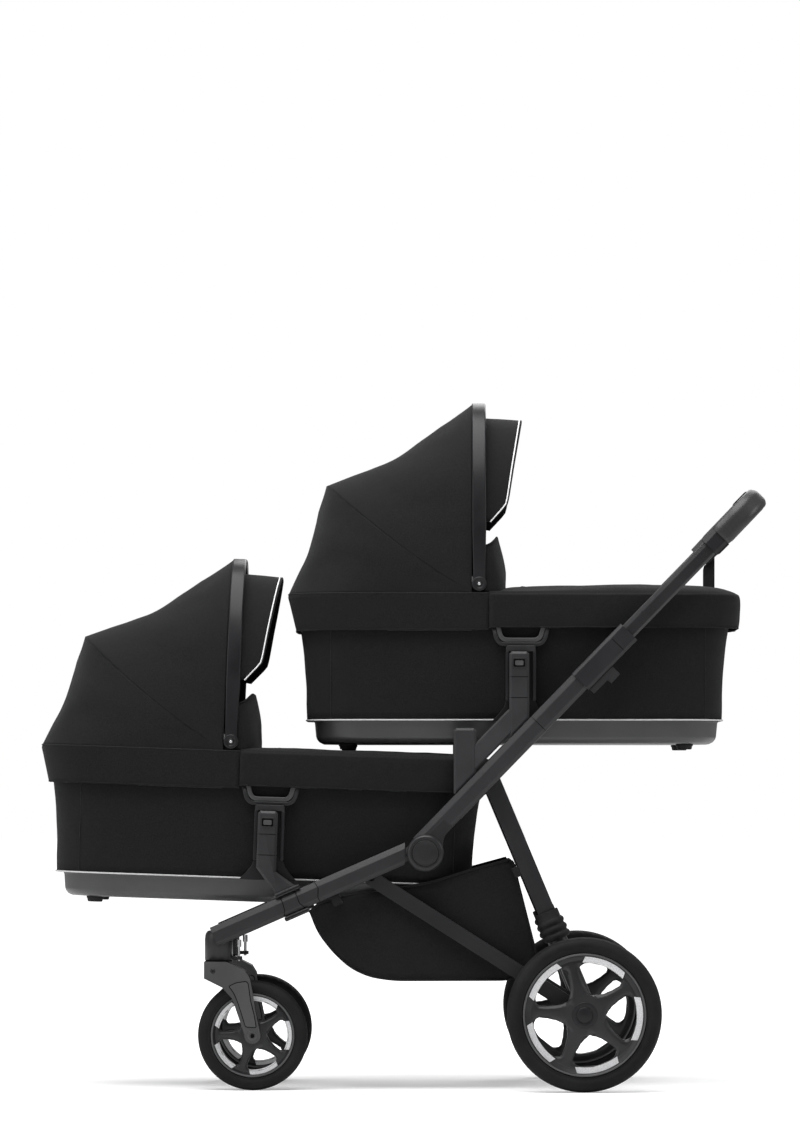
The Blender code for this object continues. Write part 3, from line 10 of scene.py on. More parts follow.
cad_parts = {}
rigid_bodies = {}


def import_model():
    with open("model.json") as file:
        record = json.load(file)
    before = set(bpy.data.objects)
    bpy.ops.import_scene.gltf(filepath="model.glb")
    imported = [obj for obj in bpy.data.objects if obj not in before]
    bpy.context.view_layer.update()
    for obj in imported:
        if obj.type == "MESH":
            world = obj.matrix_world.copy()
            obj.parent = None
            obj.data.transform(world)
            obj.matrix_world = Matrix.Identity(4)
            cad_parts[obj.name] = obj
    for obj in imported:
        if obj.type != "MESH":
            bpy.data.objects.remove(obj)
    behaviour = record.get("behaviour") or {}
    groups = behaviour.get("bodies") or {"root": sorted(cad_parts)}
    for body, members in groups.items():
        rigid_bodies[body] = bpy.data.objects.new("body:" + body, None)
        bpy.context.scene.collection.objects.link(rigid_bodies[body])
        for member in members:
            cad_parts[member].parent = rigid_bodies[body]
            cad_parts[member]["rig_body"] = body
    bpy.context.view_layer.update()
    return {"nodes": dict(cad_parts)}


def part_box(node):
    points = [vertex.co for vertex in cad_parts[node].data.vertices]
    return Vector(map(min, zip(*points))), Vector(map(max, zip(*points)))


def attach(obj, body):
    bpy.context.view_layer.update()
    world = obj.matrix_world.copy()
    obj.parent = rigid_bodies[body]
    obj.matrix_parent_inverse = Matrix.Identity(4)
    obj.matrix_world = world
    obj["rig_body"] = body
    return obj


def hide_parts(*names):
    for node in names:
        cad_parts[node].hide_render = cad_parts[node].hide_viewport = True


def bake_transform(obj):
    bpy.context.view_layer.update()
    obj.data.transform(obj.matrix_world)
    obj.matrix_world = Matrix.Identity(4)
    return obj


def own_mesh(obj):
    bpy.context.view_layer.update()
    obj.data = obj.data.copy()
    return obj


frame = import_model()

SIDES = (("left", -1), ("right", 1))
COTS = ("upper", "lower")

# Side frames: places and sizes of their tubes, in metres
FRAME_Y, INNER_Y = 0.198, 0.176
TUBE_ACROSS = 0.022
HUB_X, HUB_Z, HUB_RADIUS, HUB_FACE = 0.0409, 0.4097, 0.0315, 0.213
UPPER_ANGLE, UPPER_RISE, UPPER_DEPTH = math.radians(45.8), 0.0154, 0.036
FRONT_ANGLE, FRONT_START, FRONT_DEPTH = math.radians(23.6), (0.0068, 0.4094), 0.035
LEG_ANGLE, LEG_PIVOT_ALONG = math.radians(67.3), 0.174
HANDLE_BAR_ALONG, HANDLE_BAR_RISE, HANDLE_CORNER = 0.8300, 0.001, 0.045
COLLAR_START, GRIP_START, GRIP_RADIUS = 0.700, 0.7465, 0.0205
GAITER_START, GAITER_END, GAITER_RADIUS, GAITER_GROOVE = 0.257, 0.3085, 0.024, 0.0200
SWIVEL_X, FORK_TOP_Z, FOOT_TOP_Z, FOOT_RADIUS = -0.3159, 0.2223, 0.276, 0.0242

# Wheels: radius, axle (x, z), half track, tyre width and depth, turn of the first spoke
REAR_WHEEL = (0.133, (0.3136, 0.133), 0.262, 0.044, 0.0275, math.radians(32))
FRONT_WHEEL = (0.095, (-0.2571, 0.095), 0.180, 0.040, 0.0229, math.radians(36))
SPOKES = 5

# Carrycots, modelled round their hood pivots
COT_PIVOTS = {"upper": (0.1340, 0.8750, 0.0), "lower": (-0.2953, 0.6022, 2.0)}
COT_BODIES = {"upper": "upper_cot", "lower": "chassis"}
HALF_WIDTH, HEAD, FOOT, CORNER = 0.180, -0.3327, 0.4575, 0.100
BAND_TOP, BAND_BOTTOM, COVER_BOTTOM, BAND_SEAM_X = -0.0165, -0.079, -0.0745, 0.017
BODY_TOP, BODY_BOTTOM = -0.030, -0.2345
TRAY_TOP, TRAY_BOTTOM, TRAY_HALF_WIDTH = -0.2352, -0.2765, 0.150
DECK_CROWN = {"upper": (0.0155, 0.008), "lower": (0.007, 0.0)}
HOOD_HEIGHT, HOOP_WIDTH, HOOP_THICKNESS, HOOP_POWER = 0.3223, 0.0245, 0.010, 2.6
HOOD_START, HOOD_BASE = -0.01275, -0.0150
RIDGE = (33.5, 0.320, 3.0)
REAR_ROWS = ((8.0, 0.3075, 4.4), (20.0, 0.3030, 3.8))
FRONT_ROWS = ((45.0, 0.287, 2.8), (60.0, 0.271, 2.7), (77.0, 0.288, 2.6))
VISOR_HEIGHT, VISOR_DROOP = 0.2958, 0.0042
VISOR_REACH = ((0.1045, 0.003), (0.1386, 0.0345), (0.1516, 0.0378), (0.2037, 0.0459), (0.2916, 0.0612))
POST_X, BRACKET_X, BRACKET_Y, POST_Y, POST_TOP = 0.0690, 0.0718, 0.1730, 0.194, -0.1176
POST_HALF_ACROSS = 0.010

# Sides of the tubes, and how far a part stands off the surface that it covers
TUBE_INNER, TUBE_OUTER, PROUD = FRAME_Y - TUBE_ACROSS / 2, FRAME_Y + TUBE_ACROSS / 2, 0.0003


# Shader building
class Look:
    """A Principled material whose nodes are added by short calls."""

    def __init__(self, name, roughness, metallic=0.0, **sockets):
        self.material = bpy.data.materials.new(name)
        self.material.use_nodes = True
        self.tree = self.material.node_tree
        self.shader = self.tree.nodes["Principled BSDF"]
        self.shader.inputs["Roughness"].default_value = roughness
        self.shader.inputs["Metallic"].default_value = metallic
        for key, value in sockets.items():
            self.shader.inputs[key.replace("_", " ")].default_value = value
        place = self.add("TexCoord")
        self.solid, self.flat = place.outputs["Object"], place.outputs["UV"]

    def add(self, kind, inputs=None, **settings):
        node = self.tree.nodes.new("ShaderNode" + kind)
        for key, value in settings.items():
            setattr(node, key, value)
        for key, value in (inputs or {}).items():
            if isinstance(value, bpy.types.NodeSocket):
                self.tree.links.new(value, node.inputs[key])
            else:
                node.inputs[key].default_value = value
        return node

    def noise(self, place, scale, detail=3.0):
        return self.add("TexNoise", {"Vector": place, "Scale": scale, "Detail": detail}).outputs["Fac"]

    def math(self, operation, first, second):
        return self.add("Math", {0: first, 1: second}, operation=operation).outputs[0]

    def spread(self, value, low, high, start=0.3, end=0.7):
        """The value's middle stretch, mapped from low to high."""
        inputs = {"Value": value, "From Min": start, "From Max": end, "To Min": low, "To Max": high}
        return self.add("MapRange", inputs).outputs["Result"]

    def colours(self, share, dark, light):
        mix = self.add("Mix", {"Factor": share}, data_type="RGBA")
        for socket, colour in zip((mix.inputs[6], mix.inputs[7]), (dark, light)):
            socket.default_value = (*colour, 1.0)
        self.tree.links.new(mix.outputs[2], self.shader.inputs["Base Color"])

    def roughness(self, value):
        self.tree.links.new(value, self.shader.inputs["Roughness"])

    def bump(self, *layers):
        """Layers of (height, strength, distance), one on top of the other."""
        normal = None
        for height, strength, distance in layers:
            inputs = {"Height": height, "Strength": strength, "Distance": distance}
            if normal:
                inputs["Normal"] = normal
            normal = self.add("Bump", inputs).outputs["Normal"]
        self.tree.links.new(normal, self.shader.inputs["Normal"])
        return self.material


WAVE_PERIOD = math.pi / 10


def woven(name, dark, light, pitch, depth=0.0002, roughness=0.90, sheen=0.05):
    """Plain weave on the cloth's own flat coordinates, with slubs and soft wear."""
    look = Look(name, roughness, Specular_IOR_Level=0.12, Sheen_Weight=sheen, Sheen_Roughness=0.45)
    waves = {
        axis: look.add(
            "TexWave", {"Vector": look.flat, "Scale": WAVE_PERIOD / pitch}, bands_direction=axis
        ).outputs["Fac"] for axis in "XY"
    }
    cells = look.add("TexChecker", {"Vector": look.flat, "Scale": 1.0 / pitch}).outputs["Fac"]
    weave = look.add("Mix", {0: cells, 2: waves["X"], 3: waves["Y"]}).outputs[0]
    slub = look.noise(look.solid, 420.0, 2.0)
    cloud = look.noise(look.solid, 9.0)
    share = look.math("ADD", look.spread(slub, 0.0, 0.55), look.spread(cloud, 0.0, 0.30))
    look.colours(look.math("ADD", share, look.math("MULTIPLY", weave, 0.25)), dark, light)
    look.roughness(look.spread(cloud, roughness - 0.06, min(roughness + 0.05, 1.0)))
    return look.bump((cloud, 0.35, 0.0035), (weave, 0.5, depth), (slub, 0.25, depth))


def moulded(name, dark, light, roughness, grain=0.00006, specular=0.5):
    """Moulded plastic with a fine spark-eroded grain and slightly polished, paler edges."""
    look = Look(name, roughness, Specular_IOR_Level=specular)
    grains = look.noise(look.solid, 1500.0, 2.0)
    cloud = look.noise(look.solid, 16.0)
    edge = look.spread(look.add("NewGeometry").outputs["Pointiness"], 0.0, 0.7, 0.52, 0.62)
    look.colours(look.math("ADD", edge, look.spread(cloud, 0.0, 0.3)), dark, light)
    look.roughness(look.spread(cloud, roughness - 0.05, roughness + 0.06))
    return look.bump((grains, 0.35, grain))


def coated(name, dark, light, roughness, metallic, specular=0.5):
    """Powder-coated metal: a fine orange-peel surface, with pale wear on the edges."""
    look = Look(name, roughness, metallic, Specular_IOR_Level=specular)
    peel = look.noise(look.solid, 700.0, 3.0)
    cloud = look.noise(look.solid, 12.0)
    edge = look.spread(look.add("NewGeometry").outputs["Pointiness"], 0.0, 0.8, 0.52, 0.62)
    look.colours(look.math("ADD", edge, look.spread(cloud, 0.0, 0.25)), dark, light)
    look.roughness(look.spread(cloud, roughness - 0.04, roughness + 0.07))
    return look.bump((peel, 0.30, 0.00008))


def rubbery(name, dark, light, roughness):
    """Vulcanised rubber with a faint grey bloom and mould speckle."""
    look = Look(name, roughness, Specular_IOR_Level=0.12)
    speckle = look.noise(look.solid, 900.0, 4.0)
    bloom = look.noise(look.solid, 22.0, 5.0)
    look.colours(look.spread(bloom, 0.0, 1.0), dark, light)
    look.roughness(look.spread(bloom, roughness - 0.07, roughness + 0.06))
    return look.bump((speckle, 0.35, 0.00012))


def leathery(name, dark, light, roughness):
    """Pebbled leather: rounded cells with fine creases between them."""
    look = Look(name, roughness, Specular_IOR_Level=0.45)
    cells = look.add("TexVoronoi", {"Vector": look.solid, "Scale": 900.0}).outputs["Distance"]
    cloud = look.noise(look.solid, 30.0)
    look.colours(look.math("ADD", look.spread(cloud, 0.0, 0.5), cells), light, dark)
    look.roughness(look.spread(cloud, roughness - 0.06, roughness + 0.08))
    return look.bump((cells, -0.22, 0.00010))


def reflective(name, dark, light):
    """Reflector tape or foil: small prisms that catch the light unevenly."""
    look = Look(name, 0.32, 0.25, Specular_IOR_Level=0.6)
    prisms = look.add("TexVoronoi", {"Vector": look.solid, "Scale": 700.0}).outputs["Distance"]
    look.colours(look.spread(prisms, 0.0, 1.0, 0.1, 0.6), light, dark)
    return look.bump((prisms, 0.4, 0.0001))


def quilted(name, dark, light):
    """Soft knitted lining with fine ribs."""
    look = Look(name, 0.95, Specular_IOR_Level=0.2, Sheen_Weight=0.2, Sheen_Roughness=0.5)
    knit = look.add("TexWave", {"Vector": look.solid, "Scale": 160.0, "Distortion": 1.5}).outputs["Fac"]
    slub = look.noise(look.solid, 500.0)
    look.colours(look.math("MULTIPLY", look.math("ADD", knit, slub), 0.5), dark, light)
    return look.bump((knit, 0.35, 0.0004), (slub, 0.3, 0.0002))


def grey(level, cool=0.0):
    """A grey whose blue differs a little from its red and green."""
    return (level, level, level + cool)


LOOKS = {
    "fabric": (woven("black_canvas", grey(0.0058, 0.0002), grey(0.0138, 0.0005), 0.0011), "fabric"),
    "lining": (woven("dark_lining", grey(0.0090, 0.0005), grey(0.0200, 0.0010), 0.0008), "fabric"),
    "basket": (woven("basket_cloth", grey(0.0065, 0.0003), grey(0.0150, 0.0006), 0.0015), "fabric"),
    "webbing": (woven("strap_webbing", grey(0.008), grey(0.020, 0.001), 0.0016, 0.0004), "fabric"),
    "mattress": (quilted("mattress_knit", grey(0.30), grey(0.52, -0.01)), "lining"),
    "tube": (coated("satin_black_tube", grey(0.010, 0.001), grey(0.026, 0.002), 0.36, 0.05, 0.3),
             "painted_tube"),
    "sleek": (coated("anodised_tube", grey(0.006, 0.001), grey(0.020, 0.002), 0.28, 0.20, 0.6),
              "painted_tube"),
    "plastic": (moulded("charcoal_plastic", grey(0.011, 0.001), grey(0.032, 0.002), 0.42, specular=0.25),
                "plastic"),
    "pale": (moulded("grey_plastic", grey(0.032, 0.001), grey(0.066, 0.002), 0.42), "plastic"),
    "gloss": (moulded("dark_smooth_plastic", grey(0.007, 0.001), grey(0.022, 0.002), 0.34, 0.00003, 0.22),
              "plastic"),
    "shadow": (moulded("shadow_gap", grey(0.002), grey(0.005), 0.8, specular=0.05), "plastic"),
    "tray": (moulded("tray_plastic", grey(0.036, 0.001), grey(0.072, 0.002), 0.38), "plastic"),
    "rim": (moulded("rim_plastic", grey(0.010, 0.001), grey(0.030, 0.002), 0.38, specular=0.35), "plastic"),
    "rubber": (rubbery("gaiter_rubber", grey(0.008), grey(0.018), 0.64), "rubber"),
    "tyre": (rubbery("tyre_rubber", grey(0.007), grey(0.014), 0.68), "tyre"),
    "leather": (leathery("grip_leather", grey(0.018), grey(0.030), 0.42), "leather"),
    "thread": (woven("seam_thread", grey(0.010, 0.001), grey(0.024, 0.001), 0.0006), "fabric"),
    "piping": (woven("white_piping", grey(0.62), grey(0.90), 0.0006, sheen=0.0), "fabric"),
    "grey_piping": (woven("pale_piping", grey(0.42), grey(0.62), 0.0006, sheen=0.0), "fabric"),
    "reflector": (reflective("reflector_foil", grey(0.55, 0.01), grey(0.80, 0.01)), "plastic"),
    "steel": (coated("zinc_steel", grey(0.45, 0.01), grey(0.66, 0.01), 0.28, 1.0), "steel"),
}


# Mesh building
def put(obj, look, body, replaces=(), sharp=None):
    """Gives a finished piece its material, and lets it ride on a body."""
    if not obj.users_collection:
        bpy.context.scene.collection.objects.link(obj)
    material, slot = LOOKS[look]
    obj.data.materials.append(material)
    if obj.type == "MESH":
        obj.data.shade_smooth()
        if sharp:
            obj.data.set_sharp_from_angle(angle=math.radians(sharp))
    if body:
        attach(obj, body)
    if replaces:
        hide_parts(*replaces)
    return obj


def mesh_piece(name, bm, place=None):
    bmesh.ops.recalc_face_normals(bm, faces=bm.faces)
    mesh = bpy.data.meshes.new(name)
    bm.to_mesh(mesh)
    bm.free()
    if place:
        mesh.transform(place)
    return bpy.data.objects.new(name, mesh)


def steps_along(points):
    """Running distances along a line of points."""
    runs = [0.0]
    for first, second in zip(points, points[1:]):
        runs.append(runs[-1] + (Vector(second) - Vector(first)).length)
    return runs


def grid(rows, cyclic=False, caps=(False, False)):
    """Rows of equal count joined with quads, with flat coordinates in metres."""
    bm = bmesh.new()
    flat = bm.loops.layers.uv.new("flat")
    lines = [[bm.verts.new(point) for point in row] for row in rows]
    middle = rows[len(rows) // 2]
    across = steps_along(list(middle) + [middle[0]])
    up = steps_along([row[len(middle) // 2] for row in rows])
    count = len(middle)
    for i in range(len(rows) - 1):
        for j in range(count if cyclic else count - 1):
            k = (j + 1) % count
            corners = ((i, j, j), (i, k, j + 1), (i + 1, k, j + 1), (i + 1, j, j))
            face = bm.faces.new([lines[row][column] for row, column, _ in corners])
            for loop, (row, _, run) in zip(face.loops, corners):
                loop[flat].uv = (across[run], up[row])
    if caps[0]:
        bm.faces.new(lines[0])
    if caps[1]:
        bm.faces.new(lines[-1])
    return bm


def modify(obj, kind, **settings):
    modifier = obj.modifiers.new(kind.lower(), kind)
    for key, value in settings.items():
        setattr(modifier, key, value)
    return obj


def rounded(obj, width, segments=3, angle=35):
    """Rounds an object's edges and evens its shading."""
    limit = math.radians(angle)
    modify(obj, "BEVEL", width=width, segments=segments, limit_method="ANGLE", angle_limit=limit)
    return modify(obj, "WEIGHTED_NORMAL", keep_sharp=True)


def thick(obj, thickness, offset=-1.0):
    return modify(obj, "SOLIDIFY", thickness=thickness, offset=offset)


def refined(node, look, width):
    """A copy of a solid with finely rounded edges, which stands for it."""
    source = frame["nodes"][node]
    bm = bmesh.new()
    bm.from_mesh(source.data)
    bmesh.ops.remove_doubles(bm, verts=bm.verts, dist=0.00002)
    bmesh.ops.dissolve_limit(bm, angle_limit=math.radians(0.6), verts=bm.verts, edges=bm.edges)
    obj = mesh_piece(node + "_fine", bm)
    put(obj, look, source["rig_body"], [node])
    rounded(obj, width)


def arc(centre, radius, start, end, steps):
    turns = [start + (end - start) * i / steps for i in range(steps + 1)]
    return [(centre[0] + radius * math.cos(a), centre[1] + radius * math.sin(a)) for a in turns]


def resample(points, count):
    """As many points as asked, evenly spaced along a line of points."""
    runs = steps_along(points)
    result, k = [], 0
    for i in range(count):
        target = runs[-1] * i / (count - 1)
        while k < len(runs) - 2 and runs[k + 1] < target:
            k += 1
        span = max(runs[k + 1] - runs[k], 1e-9)
        result.append(Vector(points[k]).lerp(Vector(points[k + 1]), (target - runs[k]) / span))
    return result


def smooth_rows(rows, steps):
    """Rows passed through the key rows on smooth curves, with steps between each two."""
    result = []
    for i in range(len(rows) - 1):
        before, first = rows[max(i - 1, 0)], rows[i]
        second, after = rows[i + 1], rows[min(i + 2, len(rows) - 1)]
        for k in range(steps):
            t = k / steps
            row = []
            for a, b, c, d in zip(before, first, second, after):
                bend, twist = 2 * a - 5 * b + 4 * c - d, 3 * b - a - 3 * c + d
                row.append(0.5 * (2 * b + (c - a) * t + bend * t * t + twist * t ** 3))
            result.append(row)
    result.append([Vector(point) for point in rows[-1]])
    return result


def lathe(name, profile, steps, place, closed=False):
    """A profile of (radius, height) turned about Z, then set in place by a matrix."""
    turns = [2 * math.pi * i / steps for i in range(steps)]
    rows = [[(r * math.cos(turn), r * math.sin(turn), h) for turn in turns] for r, h in profile]
    if closed:
        rows.append(rows[0])
    bm = grid(rows, cyclic=True, caps=(not closed, not closed))
    return mesh_piece(name, welded(bm), place)


def axis_y(x, y, z, sign=1):
    """A place whose Z axis points sideways, away from the pram's middle."""
    turn = Matrix.Rotation(-sign * math.pi / 2, 4, "X")
    return Matrix.Translation((x, y, z)) @ turn


def prism(name, outline, low, high, place=None):
    """An outline of (x, z) extruded along Y from low to high."""
    bm = bmesh.new()
    near = bm.faces.new([bm.verts.new((x, low, z)) for x, z in outline])
    made = bmesh.ops.extrude_face_region(bm, geom=[near])
    moved = [item for item in made["geom"] if isinstance(item, bmesh.types.BMVert)]
    bmesh.ops.translate(bm, vec=(0.0, high - low, 0.0), verts=moved)
    return mesh_piece(name, bm, place)


def section_ring(width, depth, corner, steps=3):
    """A rounded rectangle of (across, along) points round its centre."""
    ring = []
    for sx, sy, start in ((1, 1, 0), (-1, 1, 90), (-1, -1, 180), (1, -1, 270)):
        centre = (sx * (width / 2 - corner), sy * (depth / 2 - corner))
        ring += arc(centre, corner, math.radians(start), math.radians(start + 90), steps)
    return ring


def swept(name, path, section, y, closed=False, place=None):
    """A section of (in-plane, sideways) points carried along a path of (x, z) at a given y."""
    points = [Vector((x, 0.0, z)) for x, z in path]
    count = len(points)
    rows = []
    for i, point in enumerate(points):
        before = points[i - 1] if closed or i else point
        after = points[(i + 1) % count] if closed or i < count - 1 else point
        along = (after - before).normalized()
        normal = Vector((-along.z, 0.0, along.x))
        rows.append([point + normal * u + Vector((0.0, y + v, 0.0)) for u, v in section])
    if closed:
        rows.append(rows[0])
    bm = grid(rows, cyclic=True, caps=(not closed, not closed))
    return mesh_piece(name, welded(bm), place)


def soft_corners(path, radius, closed=True, steps=5):
    """A path of (x, z) with each corner rounded."""
    result = []
    count = len(path)
    for i, point in enumerate(path):
        if not closed and i in (0, count - 1):
            result.append(point)
            continue
        here = Vector(point)
        before, after = Vector(path[i - 1]), Vector(path[(i + 1) % count])
        reach = min(radius, (before - here).length * 0.45, (after - here).length * 0.45)
        start = here + (before - here).normalized() * reach
        end = here + (after - here).normalized() * reach
        for k in range(steps + 1):
            t = k / steps
            result.append(tuple(start.lerp(here, t).lerp(here.lerp(end, t), t)))
    return result


def cord_piece(name, points, radius, look, body, cyclic=False):
    """A thin round trim along points, such as piping or a seam."""
    curve = bpy.data.curves.new(name, "CURVE")
    curve.dimensions = "3D"
    curve.bevel_depth = radius
    curve.bevel_resolution = 3
    curve.use_fill_caps = True
    spline = curve.splines.new("POLY")
    spline.points.add(len(points) - 1)
    for point, place in zip(spline.points, points):
        point.co = (*place, 1.0)
    spline.use_cyclic_u = cyclic
    return put(bpy.data.objects.new(name, curve), look, body)


def tube_ring(across, top, bottom, upper=(0.006, 0.0105), lower=(0.0045, 0.0065), soft=0.0014):
    """A tube's section as (sideways, rise) points, with a wide chamfer above and a narrow one below."""
    (ua, uh), (la, lh) = upper, lower
    corners = [(across, lh - bottom), (across, top - uh), (across - ua, top), (ua - across, top),
               (-across, top - uh), (-across, lh - bottom), (la - across, -bottom), (across - la, -bottom)]
    return soft_corners(corners, soft, steps=4)


def chamfered(name, on_line, stations, y, across, bore=(), lean=0.0, through=False, **chamfers):
    """A chamfered tube along a line of the frame; stations are (along, top, bottom), and the first one leans.
    The bore's stations are (along, across, depth), from the far end back."""
    rows = []
    for k, (along, top, bottom) in enumerate(stations):
        rows.append([])
        for side, rise in tube_ring(across, top, bottom, **chamfers):
            x, z = on_line(along + (0.0 if k else lean * rise), rise)
            rows[-1].append(Vector((x, y + side, z)))
    for along, inner_across, inner_depth in bore:
        rows.append([])
        for side, rise in tube_ring(inner_across, inner_depth, inner_depth, (0.003, 0.004), (0.003, 0.004)):
            x, z = on_line(along, rise)
            rows[-1].append(Vector((x, y + side, z)))
    if through:
        rows.append(rows[0])
    bm = grid(rows, cyclic=True, caps=(not through, not through))
    return modify(mesh_piece(name, welded(bm)), "WEIGHTED_NORMAL", keep_sharp=True)


WELD = 0.000005


def welded(bm, distance=WELD):
    """Joins points that lie on top of each other."""
    bmesh.ops.remove_doubles(bm, verts=bm.verts, dist=distance)
    return bm


def block(name, outline, reach, look, body, width=0.0012, segments=3, angle=35, place=None, node=()):
    """A prism of (x, z) points with rounded edges, between the two sides of its reach along Y."""
    piece = rounded(prism(name, outline, *reach, place), width, segments, angle)
    return put(piece, look, body, node)


def ruffled(bm, amount, scale, seed, keep=None):
    """Moves points along their normals by smooth noise; keep(point) gives the share, from 0 to 1."""
    bm.normal_update()
    shift = Vector((seed * 3.7, seed * 1.3, seed * 2.1))
    moves = []
    for vert in bm.verts:
        share = keep(vert.co) if keep else 1.0
        moves.append((vert, vert.normal * noise.noise(vert.co * scale + shift) * amount * share))
    for vert, move in moves:
        vert.co += move
    return bm


def outward(obj, centre):
    """Turns an open surface's faces away from a point."""
    bm = bmesh.new()
    bm.from_mesh(obj.data)
    total = sum((face.calc_center_median() - centre).dot(face.normal) * face.calc_area() for face in bm.faces)
    if total < 0:
        bmesh.ops.reverse_faces(bm, faces=bm.faces)
    bm.to_mesh(obj.data)
    bm.free()


CLOTH_WELD = 0.00002


def cloth_on(name, rows, ruffles=(), place=None, centre=None, weld=False):
    """An open surface on rows of points, ruffled, with its faces turned away from a centre."""
    bm = grid(rows)
    for ruffle in ruffles:
        ruffled(bm, *ruffle)
    if weld:
        welded(bm, CLOTH_WELD)
    piece = mesh_piece(name, bm, place)
    if centre:
        outward(piece, place @ Vector(centre))
    return piece


# Lines of the frame
UPPER_X = HUB_X - UPPER_RISE * math.sin(UPPER_ANGLE)
UPPER_Z = HUB_Z + UPPER_RISE * math.cos(UPPER_ANGLE)


def on_upper(along, rise=0.0):
    c, s = math.cos(UPPER_ANGLE), math.sin(UPPER_ANGLE)
    return (UPPER_X + along * c - rise * s, UPPER_Z + along * s + rise * c)


def on_front(along, rise=0.0):
    c, s = math.cos(FRONT_ANGLE), math.sin(FRONT_ANGLE)
    return (FRONT_START[0] - along * c - rise * s, FRONT_START[1] - along * s + rise * c)


LEG_X, LEG_Z = on_upper(LEG_PIVOT_ALONG)


def on_leg(along):
    return (LEG_X + along * math.cos(LEG_ANGLE), LEG_Z - along * math.sin(LEG_ANGLE))


def cot_place(cot):
    x, z, tilt = COT_PIVOTS[cot]
    return Matrix.Translation((x, 0.0, z)) @ Matrix.Rotation(math.radians(tilt), 4, "Y")


# Wheels
def spoke_half_angle(share):
    """Half the angle that a spoke covers, at a share of the rim's radius."""
    table = ((0.0, 36.0), (0.335, 36.0), (0.36, 30.0), (0.40, 21.5), (0.47, 14.5), (0.60, 9.3),
             (0.74, 7.2), (0.79, 8.8), (0.825, 12.5), (0.845, 15.5), (0.855, 36.0), (1.0, 36.0))
    for (low, first), (high, second) in zip(table, table[1:]):
        if low <= share <= high:
            return math.radians(first + (second - first) * (share - low) / (high - low))
    return math.radians(36.0)


RIM_SHARES = (
    0.0, 0.10, 0.20, 0.28, 0.335, 0.345, 0.36, 0.38, 0.40, 0.435, 0.47, 0.53, 0.60, 0.67, 0.74, 0.77,
    0.79, 0.81, 0.825, 0.838, 0.8475, 0.8549, 0.8551, 0.87, 0.90,
)


def make_star(name, wheel, sign, body, node):
    """The star of five spokes, raised at the hub, whose spokes flare into the rim."""
    radius, axle, y, width, depth, turn = wheel
    rim = radius - depth
    half = width / 2 - 0.003
    columns = 8

    def point(share, column, k, face):
        spread = spoke_half_angle(share)
        side = column / columns * 2 - 1
        angle = turn + k * 2 * math.pi / SPOKES + side * spread
        rise = half * (0.93 - 0.30 * max(share - 0.30, 0.0) / 0.60)
        edge = 1 - abs(side) ** 4 if 0.34 < share < 0.853 else 1.0
        rise -= (1 - edge) * 0.004
        r = share * rim
        return (r * math.cos(angle), r * math.sin(angle), face * rise)

    bm = bmesh.new()
    for k in range(SPOKES):
        for face in (1, -1):
            rows = [[bm.verts.new(point(s, c, k, face)) for c in range(columns + 1)] for s in RIM_SHARES]
            for low, high in zip(rows, rows[1:]):
                for c in range(columns):
                    bm.faces.new((low[c], low[c + 1], high[c + 1], high[c]))
    bmesh.ops.remove_doubles(bm, verts=bm.verts, dist=0.00001)
    edges = [edge for edge in bm.edges if edge.is_boundary]
    walls = {}
    for edge in edges:
        key = tuple(sorted((round(v.co.x, 5), round(v.co.y, 5)) for v in edge.verts))
        walls.setdefault(key, []).append(edge)
    for pair in walls.values():
        if len(pair) == 2:
            a, b = pair[0].verts
            c, d = pair[1].verts
            if (a.co.xy - c.co.xy).length > (a.co.xy - d.co.xy).length:
                c, d = d, c
            if len({a, b, c, d}) == 4:
                bm.faces.new((a, b, d, c))
    star = mesh_piece(name, bm, axis_y(axle[0], sign * y, axle[1], sign))
    put(star, "rim", body, [node])
    rounded(star, 0.0011, 3, 40)


RIM_STEPS = 120
FACES = (("outer", 1), ("inner", -1))


def make_wheel(end, side, sign):
    wheel = REAR_WHEEL if end == "rear" else FRONT_WHEEL
    radius, axle, y, width, depth, _ = wheel
    body = f"{end}_wheel_{side}"
    place = axis_y(axle[0], sign * y, axle[1], sign)
    rim = radius - depth
    half = width / 2
    lip = half - 0.0025
    make_star(f"{end}_star_{side}", wheel, sign, body, f"{end}_rim_{side}")
    upper = [
        (rim + 0.0002, lip - 0.003), (rim + 0.0002, lip - 0.0008), (rim - 0.0008, lip), (rim - 0.0030, lip),
        (rim - 0.0040, lip - 0.0010), (rim - 0.0046, lip - 0.0050), (rim * 0.862, lip - 0.0085),
        (rim * 0.855, lip - 0.0100),
    ]
    ring = upper + [(rim * 0.850, 0.0)] + [(r, -h) for r, h in reversed(upper)]
    rim_ring = put(lathe(f"{end}_rim_ring_{side}", ring, RIM_STEPS, place, closed=True), "rim", body)
    modify(rim_ring, "WEIGHTED_NORMAL")
    # The beads round both lips are in the pale tray plastic: their pale grey is a painted highlight along the
    # rim's lip edges
    for word, face in FACES:
        bead = [(rim + 0.0003, face * (lip - 0.0010)), (rim - 0.0004, face * (lip + 0.0005)),
                (rim - 0.0027, face * (lip + 0.0005)), (rim - 0.0036, face * (lip - 0.0010))]
        put(lathe(f"{end}_bead_{word}_{side}", bead, RIM_STEPS, place, closed=True), "tray", body)
    make_tyre(end, side, wheel, place, body)
    make_reflectors(end, side, wheel, place, body)
    for word, face in FACES if end == "rear" else FACES[1:]:
        turned = place @ Matrix.Scale(face, 4, (0, 0, 1))
        profile = hub_cap_profile(end, half * 0.93 - 0.0033)
        cap = put(lathe(f"{end}_hub_{word}_cap_{side}", profile, 64, turned), "gloss", body)
        modify(cap, "WEIGHTED_NORMAL")


